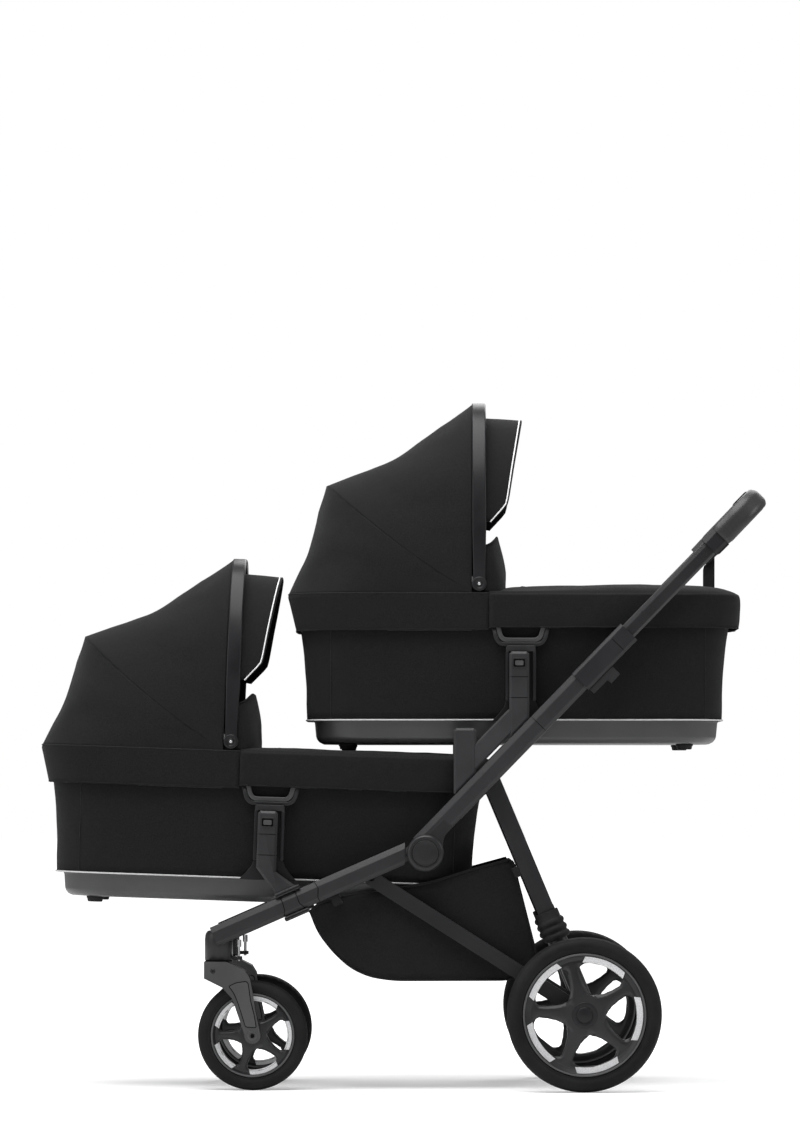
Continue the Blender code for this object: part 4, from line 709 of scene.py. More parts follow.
def hub_cap_profile(end, base):
    """A ring round a crowned cap, as (radius, height) points above the wheel's star."""
    ring, cap = (0.0230, 0.0138) if end == "rear" else (0.0150, 0.0090)
    steps = (
        (ring, -0.002), (ring, 0.0003), (ring - 0.0005, -0.0006), (ring - 0.0010, 0.0009),
        (ring - 0.0020, 0.0016), (cap + 0.0012, 0.0018), (cap + 0.0007, 0.0004), (cap, 0.0004),
        (cap - 0.0006, 0.0022),
        (cap - 0.0022, 0.0030), (0.0004, 0.0033),
    )
    return [(radius, base + rise) for radius, rise in steps]


TREAD_STEPS, TREAD_BLOCKS, TREAD_CUT = 240, 40, 0.0011


def make_tyre(end, side, wheel, place, body):
    """A tyre with a bead ring, a soft shoulder and cut tread blocks."""
    radius, _, _, width, depth, _ = wheel
    half = width / 2
    inner = radius - depth
    shoulder = (
        (0.0, 0.74), (0.03, 0.82), (0.07, 0.86), (0.13, 0.865), (0.17, 0.855), (0.28, 0.94), (0.40, 0.99),
        (0.52, 0.985), (0.64, 0.94), (0.76, 0.86), (0.80, 0.825), (0.86, 0.74), (0.92, 0.62), (0.96, 0.48),
        (0.985, 0.34),
    )
    outer = [(inner + depth * share, half * across) for share, across in shoulder]
    outer += [(radius - 0.0004, half * 0.20), (radius, half * 0.17), (radius - 0.0013, half * 0.15),
              (radius - 0.0013, half * 0.11), (radius, half * 0.09)]
    rows = []
    for r, h in outer + [(r, -h) for r, h in reversed(outer)]:
        ring = []
        for i in range(TREAD_STEPS):
            angle = 2 * math.pi * i / TREAD_STEPS
            slope = abs(h) / half
            cut = 0.0
            if r > inner + depth * 0.78 and slope > 0.18:
                phase = (angle * TREAD_BLOCKS / math.pi + slope * 1.6 * (1 if h > 0 else -1)) % 2.0
                cut = TREAD_CUT if phase < 0.30 else 0.0
            ring.append(((r - cut) * math.cos(angle), (r - cut) * math.sin(angle), h))
        rows.append(ring)
    turns = [2 * math.pi * i / TREAD_STEPS for i in range(TREAD_STEPS)]
    rows.append([(inner * math.cos(turn), inner * math.sin(turn), -half * 0.74) for turn in turns])
    rows.append(rows[0])
    tyre = mesh_piece(f"{end}_tyre_fine_{side}", welded(grid(rows, cyclic=True)), place)
    put(tyre, "tyre", body, [f"{end}_tyre_{side}"])


def make_reflectors(end, side, wheel, place, body):
    """Five pale arcs in the rim's channel, on the outer face, and on a front wheel also on the inner one."""
    _, _, _, width, _, turn = wheel
    inner, outer = (0.0896, 0.1003) if end == "rear" else (0.0594, 0.0678)
    lip = width / 2 - 0.0025
    reach, slant, thickness, steps = math.radians(24.5), math.radians(3.0), 0.004, 14
    bm = bmesh.new()
    for k in range(SPOKES):
        middle = turn + (k + 0.5) * 2 * math.pi / SPOKES
        for face in ((1,) if end == "rear" else (1, -1)):
            rings = []
            for i in range(steps + 1):
                share = i / steps * 2 - 1
                low, high = middle + share * reach, middle + share * (reach - slant)
                deep, proud = face * (lip - 0.0072), face * (lip - 0.0046)
                corners = ((inner, low, deep), (outer, high, proud), (outer, high, proud - face * thickness),
                           (inner, low, deep - face * thickness))
                rings.append([bm.verts.new((r * math.cos(a), r * math.sin(a), h)) for r, a, h in corners])
            for first, second in zip(rings, rings[1:]):
                for a in range(4):
                    b = (a + 1) % 4
                    bm.faces.new((first[a], first[b], second[b], second[a]))
            bm.faces.new(rings[0])
            bm.faces.new(rings[-1])
    reflectors = put(mesh_piece(f"{end}_reflectors_{side}", bm, place), "reflector", body)
    rounded(reflectors, 0.0003, 2)


# Carrycot outlines
def arch(height, half_width, power, x, base=0.0, columns=160):
    """An arch across the cot, from the left side to the right."""
    points = []
    for i in range(columns + 1):
        turn = math.pi * i / columns
        c, s = math.cos(turn), math.sin(turn)
        y = -half_width * math.copysign(abs(c) ** (2 / power), c)
        points.append((x, y, base + (height - base) * max(s, 0.0) ** (2 / power)))
    return points


def hood_row(degrees, radius, power, sag=0.0):
    turn = math.radians(degrees)
    crown_x, crown_z = -radius * math.cos(turn), radius * math.sin(turn)
    row = []
    for _, y, share in arch(1.0, HALF_WIDTH - 0.001, power, 0.0):
        x = HOOD_START + (crown_x - HOOD_START) * share
        z = HOOD_BASE + (crown_z - HOOD_BASE) * share
        row.append((x, y, z - sag * math.sin(math.pi * share)))
    return row


def plan_ring(head, foot, half_width, corner, z, steps=12):
    """A closed rounded rectangle seen from above, from the foot's left round to its right."""
    ring = []
    corners = (
        (foot - corner, half_width - corner, 0.0), (head + corner, half_width - corner, 90.0),
        (head + corner, corner - half_width, 180.0), (foot - corner, corner - half_width, 270.0),
    )
    for x, y, start in corners:
        ring += [(px, py, z) for px, py in
                 arc((x, y), corner, math.radians(start), math.radians(start + 90.0), steps)]
    return ring


def head_line(start, head, half_width, z):
    """The band's plan from the left side round the head to the right."""
    left = [(start, -half_width, z)]
    left += [(x, y, z) for x, y in
             arc((head + CORNER, CORNER - half_width), CORNER, math.radians(270), math.radians(180), 12)]
    return left + [(x, -y, z) for x, y, z in reversed(left)]


def foot_line(start, foot, half_width, z, corner=CORNER):
    """The cover's plan from the left side round the foot to the right."""
    left = [(start, -half_width, z)]
    left += [(x, y, z) for x, y in
             arc((foot - corner, corner - half_width), corner, math.radians(270), math.radians(360), 12)]
    return left + [(x, -y, z) for x, y, z in reversed(left)]


COLUMNS = 90


def hood_panels(cot, place):
    """Rear and front panels of the hood, from the band over the middle hoop to the front hoop."""
    ridge = resample(hood_row(*RIDGE, sag=0.012), COLUMNS)
    start = resample(head_line(HOOD_START, HEAD + 0.0015, HALF_WIDTH - 0.0015, BAND_TOP + 0.001), COLUMNS)
    rear = [start] + [resample(hood_row(*row), COLUMNS) for row in REAR_ROWS] + [ridge]
    end = resample(arch(HOOD_HEIGHT - 0.003, HALF_WIDTH - 0.003, HOOP_POWER, HOOD_START, HOOD_BASE), COLUMNS)
    front = [ridge] + [resample(hood_row(*row, sag=0.004), COLUMNS) for row in FRONT_ROWS] + [end]
    panels, cloths = [], []
    for word, keys, steps, seed in (("rear", rear, 9, 3), ("front", front, 8, 7)):
        rows = smooth_rows(keys, steps)
        edges = rows[0][::3] + rows[-1][::3]

        def inside(point, edges=edges):
            return min(min((point - p).length for p in edges) / 0.05, 1.0)

        ruffles = ((0.005, 9.0, seed, inside), (0.0016, 26.0, seed + 1, inside))
        panel = cloth_on(f"{cot}_hood_{word}_panel", rows, ruffles, place, (-0.12, 0.0, 0.05), weld=True)
        panels.append(thick(panel, 0.0014))
        cloths.append(rows)
    put(panels[0], "fabric", None, [f"{cot}_hood"])
    put(panels[1], "fabric", None)
    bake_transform(panels[0])
    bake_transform(panels[1])


def visor_reach(z):
    for (low, near), (high, far) in zip(VISOR_REACH, VISOR_REACH[1:]):
        if low <= z <= high:
            return near + (far - near) * (z - low) / (high - low)
    return VISOR_REACH[-1][1] if z > VISOR_REACH[-1][0] else 0.0


def make_visor(cot, place):
    """The soft peak in front of the hoop, with a piped edge, and the facing inside the hoop."""
    fore = f"{cot}_hood_front"
    inside = HOOP_THICKNESS + 0.001
    line = arch(VISOR_HEIGHT, HALF_WIDTH - inside, HOOP_POWER, HOOP_WIDTH / 2 - 0.006)
    line = resample([p for p in line if p[2] > VISOR_REACH[0][0]], 70)
    rows, droop = [], VISOR_DROOP / VISOR_HEIGHT
    for i in range(9):
        t = i / 8
        rows.append([
            Vector((x + (visor_reach(z) + 0.007) * t, y * (1 - 0.006 * t), z * (1 - droop * t)))
            for x, y, z in line
        ])

    def wider(p):
        return Vector((p.x, p.y * 1.006, p.z * 1.004))

    edge = [place @ vert for vert in rows[-1]]
    inset = [place @ wider(a).lerp(wider(b), 0.40) for a, b in zip(rows[-1], rows[-2])]
    ruffle = (0.0018, 14.0, 5, lambda p: min(max(p.x - 0.01, 0.0) / 0.02, 1.0))
    visor = cloth_on(f"{cot}_visor", rows, [ruffle], place, (0.03, 0.0, 0.15))
    put(thick(visor, 0.0018, 0.0), "fabric", fore)
    cord_piece(f"{cot}_visor_binding", edge, 0.0014, "fabric", fore)
    cord_piece(f"{cot}_visor_piping", inset, 0.0012, "piping", fore)
    line = arch(HOOD_HEIGHT - inside, HALF_WIDTH - inside, HOOP_POWER, HOOP_WIDTH / 2 - 0.002)
    line = resample([p for p in line if p[2] > 0.004], 90)
    rows = [[Vector((x - 0.020 * t, y, z)) for x, y, z in line] for t in (0.0, 0.5, 1.0)]
    facing = cloth_on(f"{cot}_hoop_facing", rows, (), place, (0.0, 0.0, 0.10))
    put(thick(facing, 0.0012), "lining", fore)


def make_front_hoop(cot, place):
    """A flat satin hoop with a crowned face, that ends in a round boss on each side."""
    fore = f"{cot}_hood_front"
    path = resample([(y, z) for _, y, z in arch(HOOD_HEIGHT, HALF_WIDTH, HOOP_POWER, 0.0)], 110)
    section = section_ring(HOOP_WIDTH, HOOP_THICKNESS - 0.001, 0.0028)
    rows = []
    for i, point in enumerate(path):
        along = (path[min(i + 1, len(path) - 1)] - path[max(i - 1, 0)]).normalized()
        normal = Vector((-along.y, along.x))
        taper = 1.0 - 0.16 * max(0.0, 1.0 - point.y / 0.10)
        row = []
        for across, deep in section:
            rise = deep - (HOOP_THICKNESS - 0.001) / 2 + 0.0006 * (1 - (across / (HOOP_WIDTH / 2)) ** 2)
            spot = point + normal * rise
            row.append((across * taper, spot.x, spot.y))
        rows.append(row)
    hoop = put(mesh_piece(f"{cot}_front_hoop_fine", grid(rows, cyclic=True, caps=(True, True)), place),
               "gloss", fore, [f"{cot}_front_hoop"])
    rounded(hoop, 0.0006, 2, 50)
    boss = [
        (0.0090, -0.0104), (0.0122, -0.0100), (0.0126, -0.0090), (0.0126, -0.0006), (0.0120, 0.0006),
        (0.0108, 0.0011), (0.0072, 0.0012), (0.0068, 0.0004), (0.0050, 0.0003), (0.0046, 0.0009),
        (0.0010, 0.0011),
    ]
    screw = [(0.0026, 0.0), (0.0026, 0.0017), (0.0019, 0.0022), (0.0009, 0.0022), (0.0008, 0.0014)]
    for side, sign in SIDES:
        pivot = place @ axis_y(0.0, sign * HALF_WIDTH, 0.0, sign)
        put(lathe(f"{cot}_hoop_boss_{side}", boss, 48, pivot), "gloss", fore)
        put(lathe(f"{cot}_hoop_screw_{side}", screw, 24, pivot), "steel", fore)


def make_band(cot, place, body):
    """The head half of the band that hangs round the cot's rim."""
    levels = ((0.0015, BAND_TOP + 0.0012), (0.0004, BAND_TOP - 0.0018), (0.0004, BAND_TOP - 0.0060),
              (0.0042, -0.036), (0.0096, -0.058), (0.0142, BAND_BOTTOM + 0.001), (0.0147, BAND_BOTTOM))
    start = BAND_SEAM_X - 0.0003
    keys = []
    for inset, z in levels:
        keys.append(resample(head_line(start, HEAD + inset, HALF_WIDTH - 0.0004 - inset * 0.22, z), 120))
    rows = smooth_rows(keys, 3)
    ruffle = (0.0014, 17.0, 11, lambda p: min(max(BAND_TOP - 0.004 - p.z, 0.0) / 0.02, 1.0))
    band = cloth_on(f"{cot}_hood_band", rows, [ruffle], place, (-0.1, 0.0, -0.05))
    put(thick(band, 0.0016), "fabric", body)
    cord_piece(f"{cot}_hood_band_hem", [place @ p for p in keys[-1]], 0.0013, "fabric", body)
    top = resample(head_line(start, HEAD + 0.0008, HALF_WIDTH - 0.0010, BAND_TOP + 0.0006), 120)
    cord_piece(f"{cot}_hood_band_fold", [place @ p for p in top], 0.0012, "thread", body)


def make_cover(cot, place, body):
    """The cover over the foot half: a skirt, a soft crowned deck and a raised wind flap."""
    crown, fall = DECK_CROWN[cot]
    start, foot, top = BAND_SEAM_X + 0.0003, FOOT - 0.001, BAND_TOP + 0.002

    def deck(pull, rise, drop=fall):
        row = []
        for x, y, _ in resample(foot_line(start, foot - 0.004, HALF_WIDTH - 0.005, top), 120):
            share = (x - BAND_SEAM_X) / (foot - BAND_SEAM_X)
            spot = BAND_SEAM_X + (x - BAND_SEAM_X) * (1 - pull)
            row.append(Vector((spot, y * (1 - pull), top + rise - drop * (1 - share) ** 2)))
        return row

    levels = ((0.0040, COVER_BOTTOM), (0.0036, COVER_BOTTOM + 0.001), (0.0012, -0.058), (0.0, -0.036),
              (0.0004, BAND_TOP - 0.007), (0.0018, BAND_TOP - 0.0022))
    skirt = [
        resample(foot_line(start, foot - inset, HALF_WIDTH - 0.0004 - inset * 0.3, z), 120)
        for inset, z in levels
    ]
    keys = skirt + [deck(0.0, -0.0012, 0.0), deck(0.03, crown * 0.25, fall * 0.2)]
    domes = ((0.10, 0.65), (0.25, 0.90), (0.40, 1.0), (0.60, 1.02), (0.85, 0.96))
    keys += [deck(pull, crown * share) for pull, share in domes]
    keys.append([Vector((p.x, p.y * 0.02, p.z)) for p in keys[-1]])
    rows = smooth_rows(keys, 3)
    ruffles = ((0.0030, 8.0, 21, lambda p: min(max(p.z - BAND_TOP, 0.0) / 0.01, 1.0) * 0.8 + 0.2),
               (0.0010, 30.0, 23))
    cover = cloth_on(f"{cot}_foot_cover_cloth", rows, ruffles, place, (0.25, 0.0, -0.08), weld=True)
    put(thick(cover, 0.0018), "fabric", body, [f"{cot}_foot_cover"])
    cord_piece(f"{cot}_cover_hem", [place @ p for p in skirt[0]], 0.0013, "fabric", body)
    make_flap(cot, place, body)


def make_flap(cot, place, body):
    """A cloth wall that stands at the open end of the deck and runs back under the hood."""
    rows = []
    for i in range(11):
        t = i / 10
        rows.append([])
        for k in range(61):
            turn = (k / 60 * 2 - 1) * math.pi / 2
            c, s = abs(math.cos(turn)), math.sin(turn)
            x = 0.046 * c ** 0.5 * (1 - 0.31 * t) + 0.0055 * c * math.sin(math.pi * t)
            y = 0.170 * math.copysign(abs(s) ** 0.5, s) * (1 - 0.018 * t)
            top = 0.066 + 0.019 * c ** 1.5
            rows[-1].append(Vector((x, y, -0.018 + (top + 0.018) * t)))
    ruffle = (0.0022, 22.0, 31, lambda p: min(max(p.z, 0.0) / 0.02, 1.0))
    flap = cloth_on(f"{cot}_wind_flap", rows, [ruffle], place)
    put(thick(flap, 0.0022, 0.0), "fabric", body)
    cord_piece(f"{cot}_wind_flap_edge", [place @ p for p in rows[-1]], 0.0016, "fabric", body)


def body_line(z, grow=0.0):
    """The cot body's plan at a height; its ends bow a little between top and bottom."""
    share = (z - BODY_BOTTOM) / (BODY_TOP - BODY_BOTTOM)
    inset = 0.027 - 0.015 * share - grow
    ends = 0.033 - 0.0175 * share - grow + 0.004 * math.sin(math.pi * min(max(share, 0.0), 1.0))
    return plan_ring(HEAD + ends, FOOT - ends, HALF_WIDTH - inset, CORNER - inset / 2, z)


def ring_half(ring, x):
    """Half the width of a plan ring at a given x."""
    halves = []
    for first, second in zip(ring, ring[1:] + ring[:1]):
        low, high = sorted((first, second))
        if low[0] <= x <= high[0] and high[0] > low[0]:
            halves.append(abs(low[1] + (high[1] - low[1]) * (x - low[0]) / (high[0] - low[0])))
    return max(halves)


def make_cot_body(cot, place, body):
    heights = [BODY_BOTTOM + (BODY_TOP - 0.008 - BODY_BOTTOM) * i / 14 for i in range(15)]
    rings = [[Vector(p) for p in body_line(z)] for z in heights]
    floor = [[Vector((p.x * 0.98 + 0.00125, p.y * 0.98, BODY_BOTTOM)) for p in rings[0]]]
    bm = grid(floor + rings, cyclic=True, caps=(True, False))
    for amount, scale, seed in ((0.0026, 7.0, 41), (0.0009, 24.0, 43)):
        ruffled(bm, amount, scale, seed, lambda p: min(max(p.z - BODY_BOTTOM, 0.0) / 0.03, 1.0))
    shell = mesh_piece(f"{cot}_cot_cloth", bm, place)
    put(thick(shell, 0.0045), "fabric", body, [f"{cot}_cot_body"])
    piping = [place @ Vector(p) for p in body_line(BODY_BOTTOM - 0.0004, 0.0012)]
    cord_piece(f"{cot}_body_piping", piping, 0.0014, "grey_piping", body, cyclic=True)
    for end, x in (("head", -0.257), ("foot", 0.392)):
        for side, sign in SIDES:
            line = [place @ Vector((x, sign * ring_half(body_line(z, 0.0004), x), z)) for z in heights]
            cord_piece(f"{cot}_body_seam_{end}_{side}", line, 0.0007, "thread", body)
    lug = [(-0.012, -0.053), (0.012, -0.053), (0.012, 0.004), (0.006, 0.009), (-0.006, 0.009),
           (-0.012, 0.004)]
    for side, sign in SIDES:
        block(f"{cot}_hinge_lug_{side}", lug, (sign * 0.1600, sign * 0.1640), "plastic", body, place=place)


def make_tray(cot, place, body):
    """The hard base, its four feet, and on each side the bracket that stands on the adapter."""
    head, foot = HEAD + 0.0457, FOOT - 0.040
    corner = CORNER - 0.02
    levels = ((0.030, TRAY_BOTTOM), (0.0145, TRAY_BOTTOM + 0.0004), (0.0085, TRAY_BOTTOM + 0.0034),
              (0.0045, TRAY_BOTTOM + 0.0085), (0.0030, TRAY_BOTTOM + 0.013), (0.0008, TRAY_TOP - 0.0045),
              (-0.0004, TRAY_TOP - 0.0030), (-0.0004, TRAY_TOP - 0.0008), (0.0004, TRAY_TOP - 0.0001),
              (0.0040, TRAY_TOP - 0.0001))
    rows = []
    for inset, z in levels:
        ring = plan_ring(head + inset, foot - inset, TRAY_HALF_WIDTH - inset, corner, z, 16)
        rows.append([Vector(p) for p in ring])
    tray = put(mesh_piece(f"{cot}_tray_shell", grid(rows, cyclic=True, caps=(True, True)), place),
               "tray", body, [f"{cot}_cot_tray"])
    modify(tray, "WEIGHTED_NORMAL")
    profile = [(0.0150, 0.002), (0.0150, -0.0030), (0.0138, -0.0036), (0.0128, -0.0084), (0.0118, -0.0094),
               (0.0004, -0.0095)]
    for end, x in (("head", head + 0.058), ("foot", foot - 0.060)):
        for side, sign in SIDES:
            spot = place @ Matrix.Translation((x, sign * (TRAY_HALF_WIDTH - 0.045), TRAY_BOTTOM))
            put(lathe(f"{cot}_tray_foot_{end}_{side}", profile, 32, spot), "rubber", body)
    for side, sign in SIDES:
        make_bracket(cot, side, sign, place, body)


RING_PATH = ((-0.0417, -0.0638), (0.0417, -0.0638), (0.0334, -0.0972), (-0.0334, -0.0972))
BEZEL_PATH = ((-0.0473, -0.0740), (-0.0399, -0.1046), (0.0399, -0.1046), (0.0473, -0.0740))


def make_bracket(cot, side, sign, place, body):
    """A fork round the release handle, a plate down to the tray and a housing over the post."""
    y, outer = sign * BRACKET_Y, sign * (POST_Y - 0.0015)
    half = 0.0255

    def beside(points):
        return [(BRACKET_X + x, z) for x, z in points]

    def box(low_x, high_x, low_z, high_z):
        return beside([(low_x, low_z), (high_x, low_z), (high_x, high_z), (low_x, high_z)])

    bezel_path = soft_corners(beside(BEZEL_PATH), 0.014, closed=False)
    bezel = swept(f"{cot}_bezel_{side}", bezel_path, section_ring(0.0070, 0.0066, 0.0018), y, place=place)
    put(bezel, "plastic", body)
    right = [(0.0500, -0.2372), (0.0400, -0.2270), (0.0290, -0.2130), (half, -0.203), (half, -0.108)]
    plate = beside([(-0.0500, -0.2372)] + right + [(-x, z) for x, z in reversed(right[1:])])
    block(f"{cot}_bracket_{side}", plate, (y - 0.0025, y + 0.0025), "gloss", body, place=place)
    head = beside([(-half, -0.1172), (half, -0.1172), (half, -0.1105), (half - 0.002, -0.1070),
                   (0.002 - half, -0.1070), (-half, -0.1105)])
    block(f"{cot}_bracket_head_{side}", head, (y, outer), "plastic", body, 0.0010, place=place)
    for word, edge in (("front", -1), ("rear", 1)):
        rib = box(edge * 0.0203, edge * 0.0262, -0.2025, -0.1165)
        block(f"{cot}_bracket_{word}_rib_{side}", rib, (y, outer), "gloss", body, 0.0014, place=place)
    shelf = box(-0.0445, 0.0445, -0.2372, -0.2332)
    block(f"{cot}_bracket_shelf_{side}", shelf, (sign * 0.1475, y), "gloss", body, 0.0010, place=place)
    ring_path = soft_corners(beside(RING_PATH), 0.012)
    ring_section = section_ring(0.0082, 0.0056, 0.0016)
    ring = swept(f"{cot}_release_ring_{side}", ring_path, ring_section, y, closed=True, place=place)
    put(ring, "pale", f"{cot}_release_handle_{side}", [f"{cot}_release_handle_{side}"])


def make_mattress(cot, place, body):
    """A quilted mattress: a crowned pad with drawn-in sides and piped edges."""
    base, height = BODY_BOTTOM + 0.0056, 0.036
    levels = ((0.020, 0.0), (0.006, 0.03), (0.001, 0.12), (0.006, 0.50), (0.001, 0.86), (0.010, 0.96),
              (0.045, 1.02), (0.09, 1.04))

    def outline(share, grow):
        rise = height * share
        return [Vector((x, y, base + rise)) for x, y, _ in body_line(BODY_BOTTOM + rise, grow)]

    rows = [outline(share, -0.0225 - pull) for pull, share in levels]
    pad = mesh_piece(f"{cot}_mattress_pad", grid(rows, cyclic=True, caps=(True, True)), place)
    puff(pad)
    put(pad, "mattress", body, [f"{cot}_mattress"])
    for word, share in (("lower", 0.12), ("upper", 0.86)):
        line = [place @ p for p in outline(share, -0.0232)]
        cord_piece(f"{cot}_mattress_{word}_piping", line, 0.0016, "mattress", body, cyclic=True)


PUFF_CAP, PUFF_FRAMES, PUFF_VOXEL = 0.003, 12, 0.008


def puff(pad):
    """Swells a pad by cloth pressure, with each point's travel capped."""
    bpy.context.scene.collection.objects.link(pad)
    modify(pad, "REMESH", mode="VOXEL", voxel_size=PUFF_VOXEL)
    apply_modifiers(pad)
    rest = [vert.co.copy() for vert in pad.data.vertices]
    modify(pad, "CLOTH")
    settings = pad.modifiers["cloth"].settings
    settings.use_pressure = True
    settings.uniform_pressure_force = 2.0
    settings.effector_weights.gravity = 0.0
    scene = bpy.context.scene
    for step in range(1, PUFF_FRAMES + 1):
        scene.frame_set(step)
    apply_modifiers(pad)
    scene.frame_set(1)
    for vert, start in zip(pad.data.vertices, rest):
        move = vert.co - start
        if move.length > PUFF_CAP:
            vert.co = start + move.normalized() * PUFF_CAP
    modify(pad, "SMOOTH", iterations=4)
    apply_modifiers(pad)


def apply_modifiers(obj):
    graph = bpy.context.evaluated_depsgraph_get()
    mesh = bpy.data.meshes.new_from_object(obj.evaluated_get(graph))
    obj.modifiers.clear()
    obj.data = mesh


def make_carrycot(cot):
    place, body = cot_place(cot), COT_BODIES[cot]
    make_cot_body(cot, place, body)
    make_tray(cot, place, body)
    make_mattress(cot, place, body)
    make_cover(cot, place, body)
    make_band(cot, place, body)
    hood_panels(cot, place)
    make_visor(cot, place)
    make_front_hoop(cot, place)
    hoop_materials = frame["nodes"][f"{cot}_mid_hoop"].data.materials
    hoop_materials.clear()
    hoop_materials.append(LOOKS["steel"][0])


# Frame
def make_hub(side, sign):
    """The round fold housing: a stepped ring, a bare crowned cap, and its flare into the upper tube."""
    place = axis_y(HUB_X, sign * HUB_FACE, HUB_Z, sign)
    housing = [(HUB_RADIUS + 0.0002, -0.030), (HUB_RADIUS + 0.0004, -0.0034), (HUB_RADIUS - 0.0030, 0.0002),
               (0.0250, 0.0010), (0.0236, 0.0004), (0.0232, -0.0012), (0.0004, -0.0012)]
    put(lathe(f"hub_housing_{side}", housing, 96, place), "tube", "chassis", sharp=50)
    cap = [(0.0222, -0.0012), (0.0222, 0.0002), (0.0216, 0.0009), (0.0206, 0.0011), (0.0202, 0.0008),
           (0.0197, 0.0011), (0.0100, 0.0015), (0.0004, 0.0016)]
    put(lathe(f"hub_cap_{side}", cap, 96, place), "plastic", "chassis")
    right = [(0.0300, -0.004), (0.0303, 0.012), (0.0306, 0.0185), (0.0316, 0.0245), (0.0340, 0.0300),
             (0.0392, 0.0362)]
    outline = [(HUB_X + x, HUB_Z + z) for x, z in right]
    outline += [on_upper(0.066, -UPPER_DEPTH / 2), on_upper(0.066, 0.004), on_upper(0.010, 0.004)]
    outline.append((HUB_X, HUB_Z))
    reach = sorted((sign * (TUBE_OUTER + PROUD), sign * (TUBE_INNER - PROUD)))
    block(f"hub_flare_{side}", outline, reach, "tube", "chassis", 0.0026, angle=30)


def surface_seam(name, on_line, stations, y, sign, across, depth, radius=0.0006):
    """A dark seam over a chamfered tube's outer side, through (along, rise) points."""
    line = []
    for spot in resample([Vector((a, r, 0.0)) for a, r in stations], 24):
        over = max(spot.y - (depth / 2 - 0.0105), 0.0) * 0.006 / 0.0105
        under = max(-spot.y - (depth / 2 - 0.0065), 0.0) * 0.0045 / 0.0065
        x, z = on_line(spot.x, spot.y)
        line.append((x, y + sign * (across / 2 - over - under), z))
    cord_piece(name, line, radius, "shadow", "chassis")


def bar_outline(on_line, start, end, middle, depth):
    return [on_line(start, middle - depth / 2), on_line(end, middle - depth / 2),
            on_line(end, middle + depth / 2), on_line(start, middle + depth / 2)]


def faceted(obj, look, body, replaces=(), width=0.0040):
    """A prism whose side faces have wide flat chamfers."""
    put(obj, look, body, replaces)
    obj.data.shade_flat()
    modify(obj, "BEVEL", width=width, segments=1, limit_method="ANGLE", angle_limit=math.radians(70))


def make_adapters(side, sign):
    """The posts that hold the carrycots: an arm and socket on the upper tube, a clamp on the front tube."""
    y = sign * POST_Y
    low, high = y - POST_HALF_ACROSS, y + POST_HALF_ACROSS
    heads = {}
    for cot in COTS:
        corners = ((0.0172, -0.004), (0.0132, 0.0), (-0.0132, 0.0), (-0.0172, -0.004))
        spots = [cot_place(cot) @ Vector((POST_X + u, 0.0, POST_TOP + w)) for u, w in corners]
        heads[cot] = [(p.x, p.z) for p in spots]
    inner = POST_Y - POST_HALF_ACROSS - 0.001
    webs = sorted((sign * inner, sign * (TUBE_INNER - PROUD)))
    make_upper_adapter(side, low, high, heads["upper"], webs)

    place = cot_place("lower")
    bends = [place @ Vector((POST_X + u, 0.0, -0.2190 + w)) for u, w in ((-0.0172, 0.003), (0.0172, -0.003))]
    seat = FRONT_DEPTH / 2 + PROUD
    outline = [(bends[0].x, bends[0].z), on_front(0.2325, seat + 0.0027), on_front(0.1945, seat + 0.0027),
               (bends[1].x, bends[1].z), *heads["lower"]]
    faceted(prism(f"lower_post_{side}", outline, low, high), "plastic", "chassis", [f"lower_adapter_{side}"])
    for word, rise in (("upper", seat + 0.004), ("lower", -seat - 0.004)):
        lip = bar_outline(on_front, 0.1905, 0.2365, rise, 0.008)
        reach = sorted((sign * inner, sign * TUBE_OUTER))
        block(f"clamp_{word}_lip_{side}", lip, reach, "plastic", "chassis", 0.0024, 2)
        slot = [(x, sign * (TUBE_OUTER + 0.0001), z) for x, z in
                (on_front(0.192, rise * 0.98), on_front(0.235, rise * 0.98))]
        cord_piece(f"clamp_{word}_slot_{side}", slot, 0.0006, "shadow", "chassis")
    reach = sorted((sign * (inner - 0.001), sign * (TUBE_INNER - PROUD)))
    web = bar_outline(on_front, 0.1925, 0.2345, 0.0, 0.043)
    block(f"clamp_web_{side}", web, reach, "plastic", "chassis", 0.0008)


def make_upper_adapter(side, low, high, head, webs):
    """The upper post with its arm, the free socket in front of it, and the web behind the tube."""
    face = UPPER_DEPTH / 2 + PROUD
    base_x, base_z = on_upper(0.0, face)

    def tube_top(x):
        return base_z + (x - base_x) * math.tan(UPPER_ANGLE)

    start, end = head[-1][0], head[0][0]
    post = prism(f"upper_post_{side}", [(start, tube_top(start)), (end, tube_top(end)), *head], low, high)
    faceted(post, "plastic", "chassis", [f"upper_adapter_{side}"])
    left, right, top = 0.0899, 0.1289, 0.6252
    socket = [(left, tube_top(left)), (right, tube_top(right)), (right, top - 0.004), (right - 0.004, top),
              (left + 0.004, top), (left, top - 0.004)]
    faceted(prism(f"upper_socket_{side}", socket, low, high), "plastic", "chassis")
    arm = bar_outline(on_upper, 0.158, 0.280, face + 0.0203, 0.0326)
    faceted(prism(f"upper_arm_{side}", arm, low + 0.001, high - 0.001), "plastic", "chassis", width=0.0030)
    web = bar_outline(on_upper, 0.085, 0.145, -0.001, 0.036)
    block(f"upper_adapter_web_{side}", web, webs, "plastic", "chassis", 0.0008)


CLAMP_SEAMS = (
    ((0.2283, 0.0160), (0.2283, 0.0067), (0.2298, -0.0047), (0.2350, -0.0170)),
    ((0.2014, 0.0160), (0.2014, 0.0059), (0.2020, -0.0053), (0.1961, -0.0170)),
    ((0.1638, 0.0165), (0.1622, 0.0047), (0.1686, -0.0084), (0.1686, -0.0170)),
)


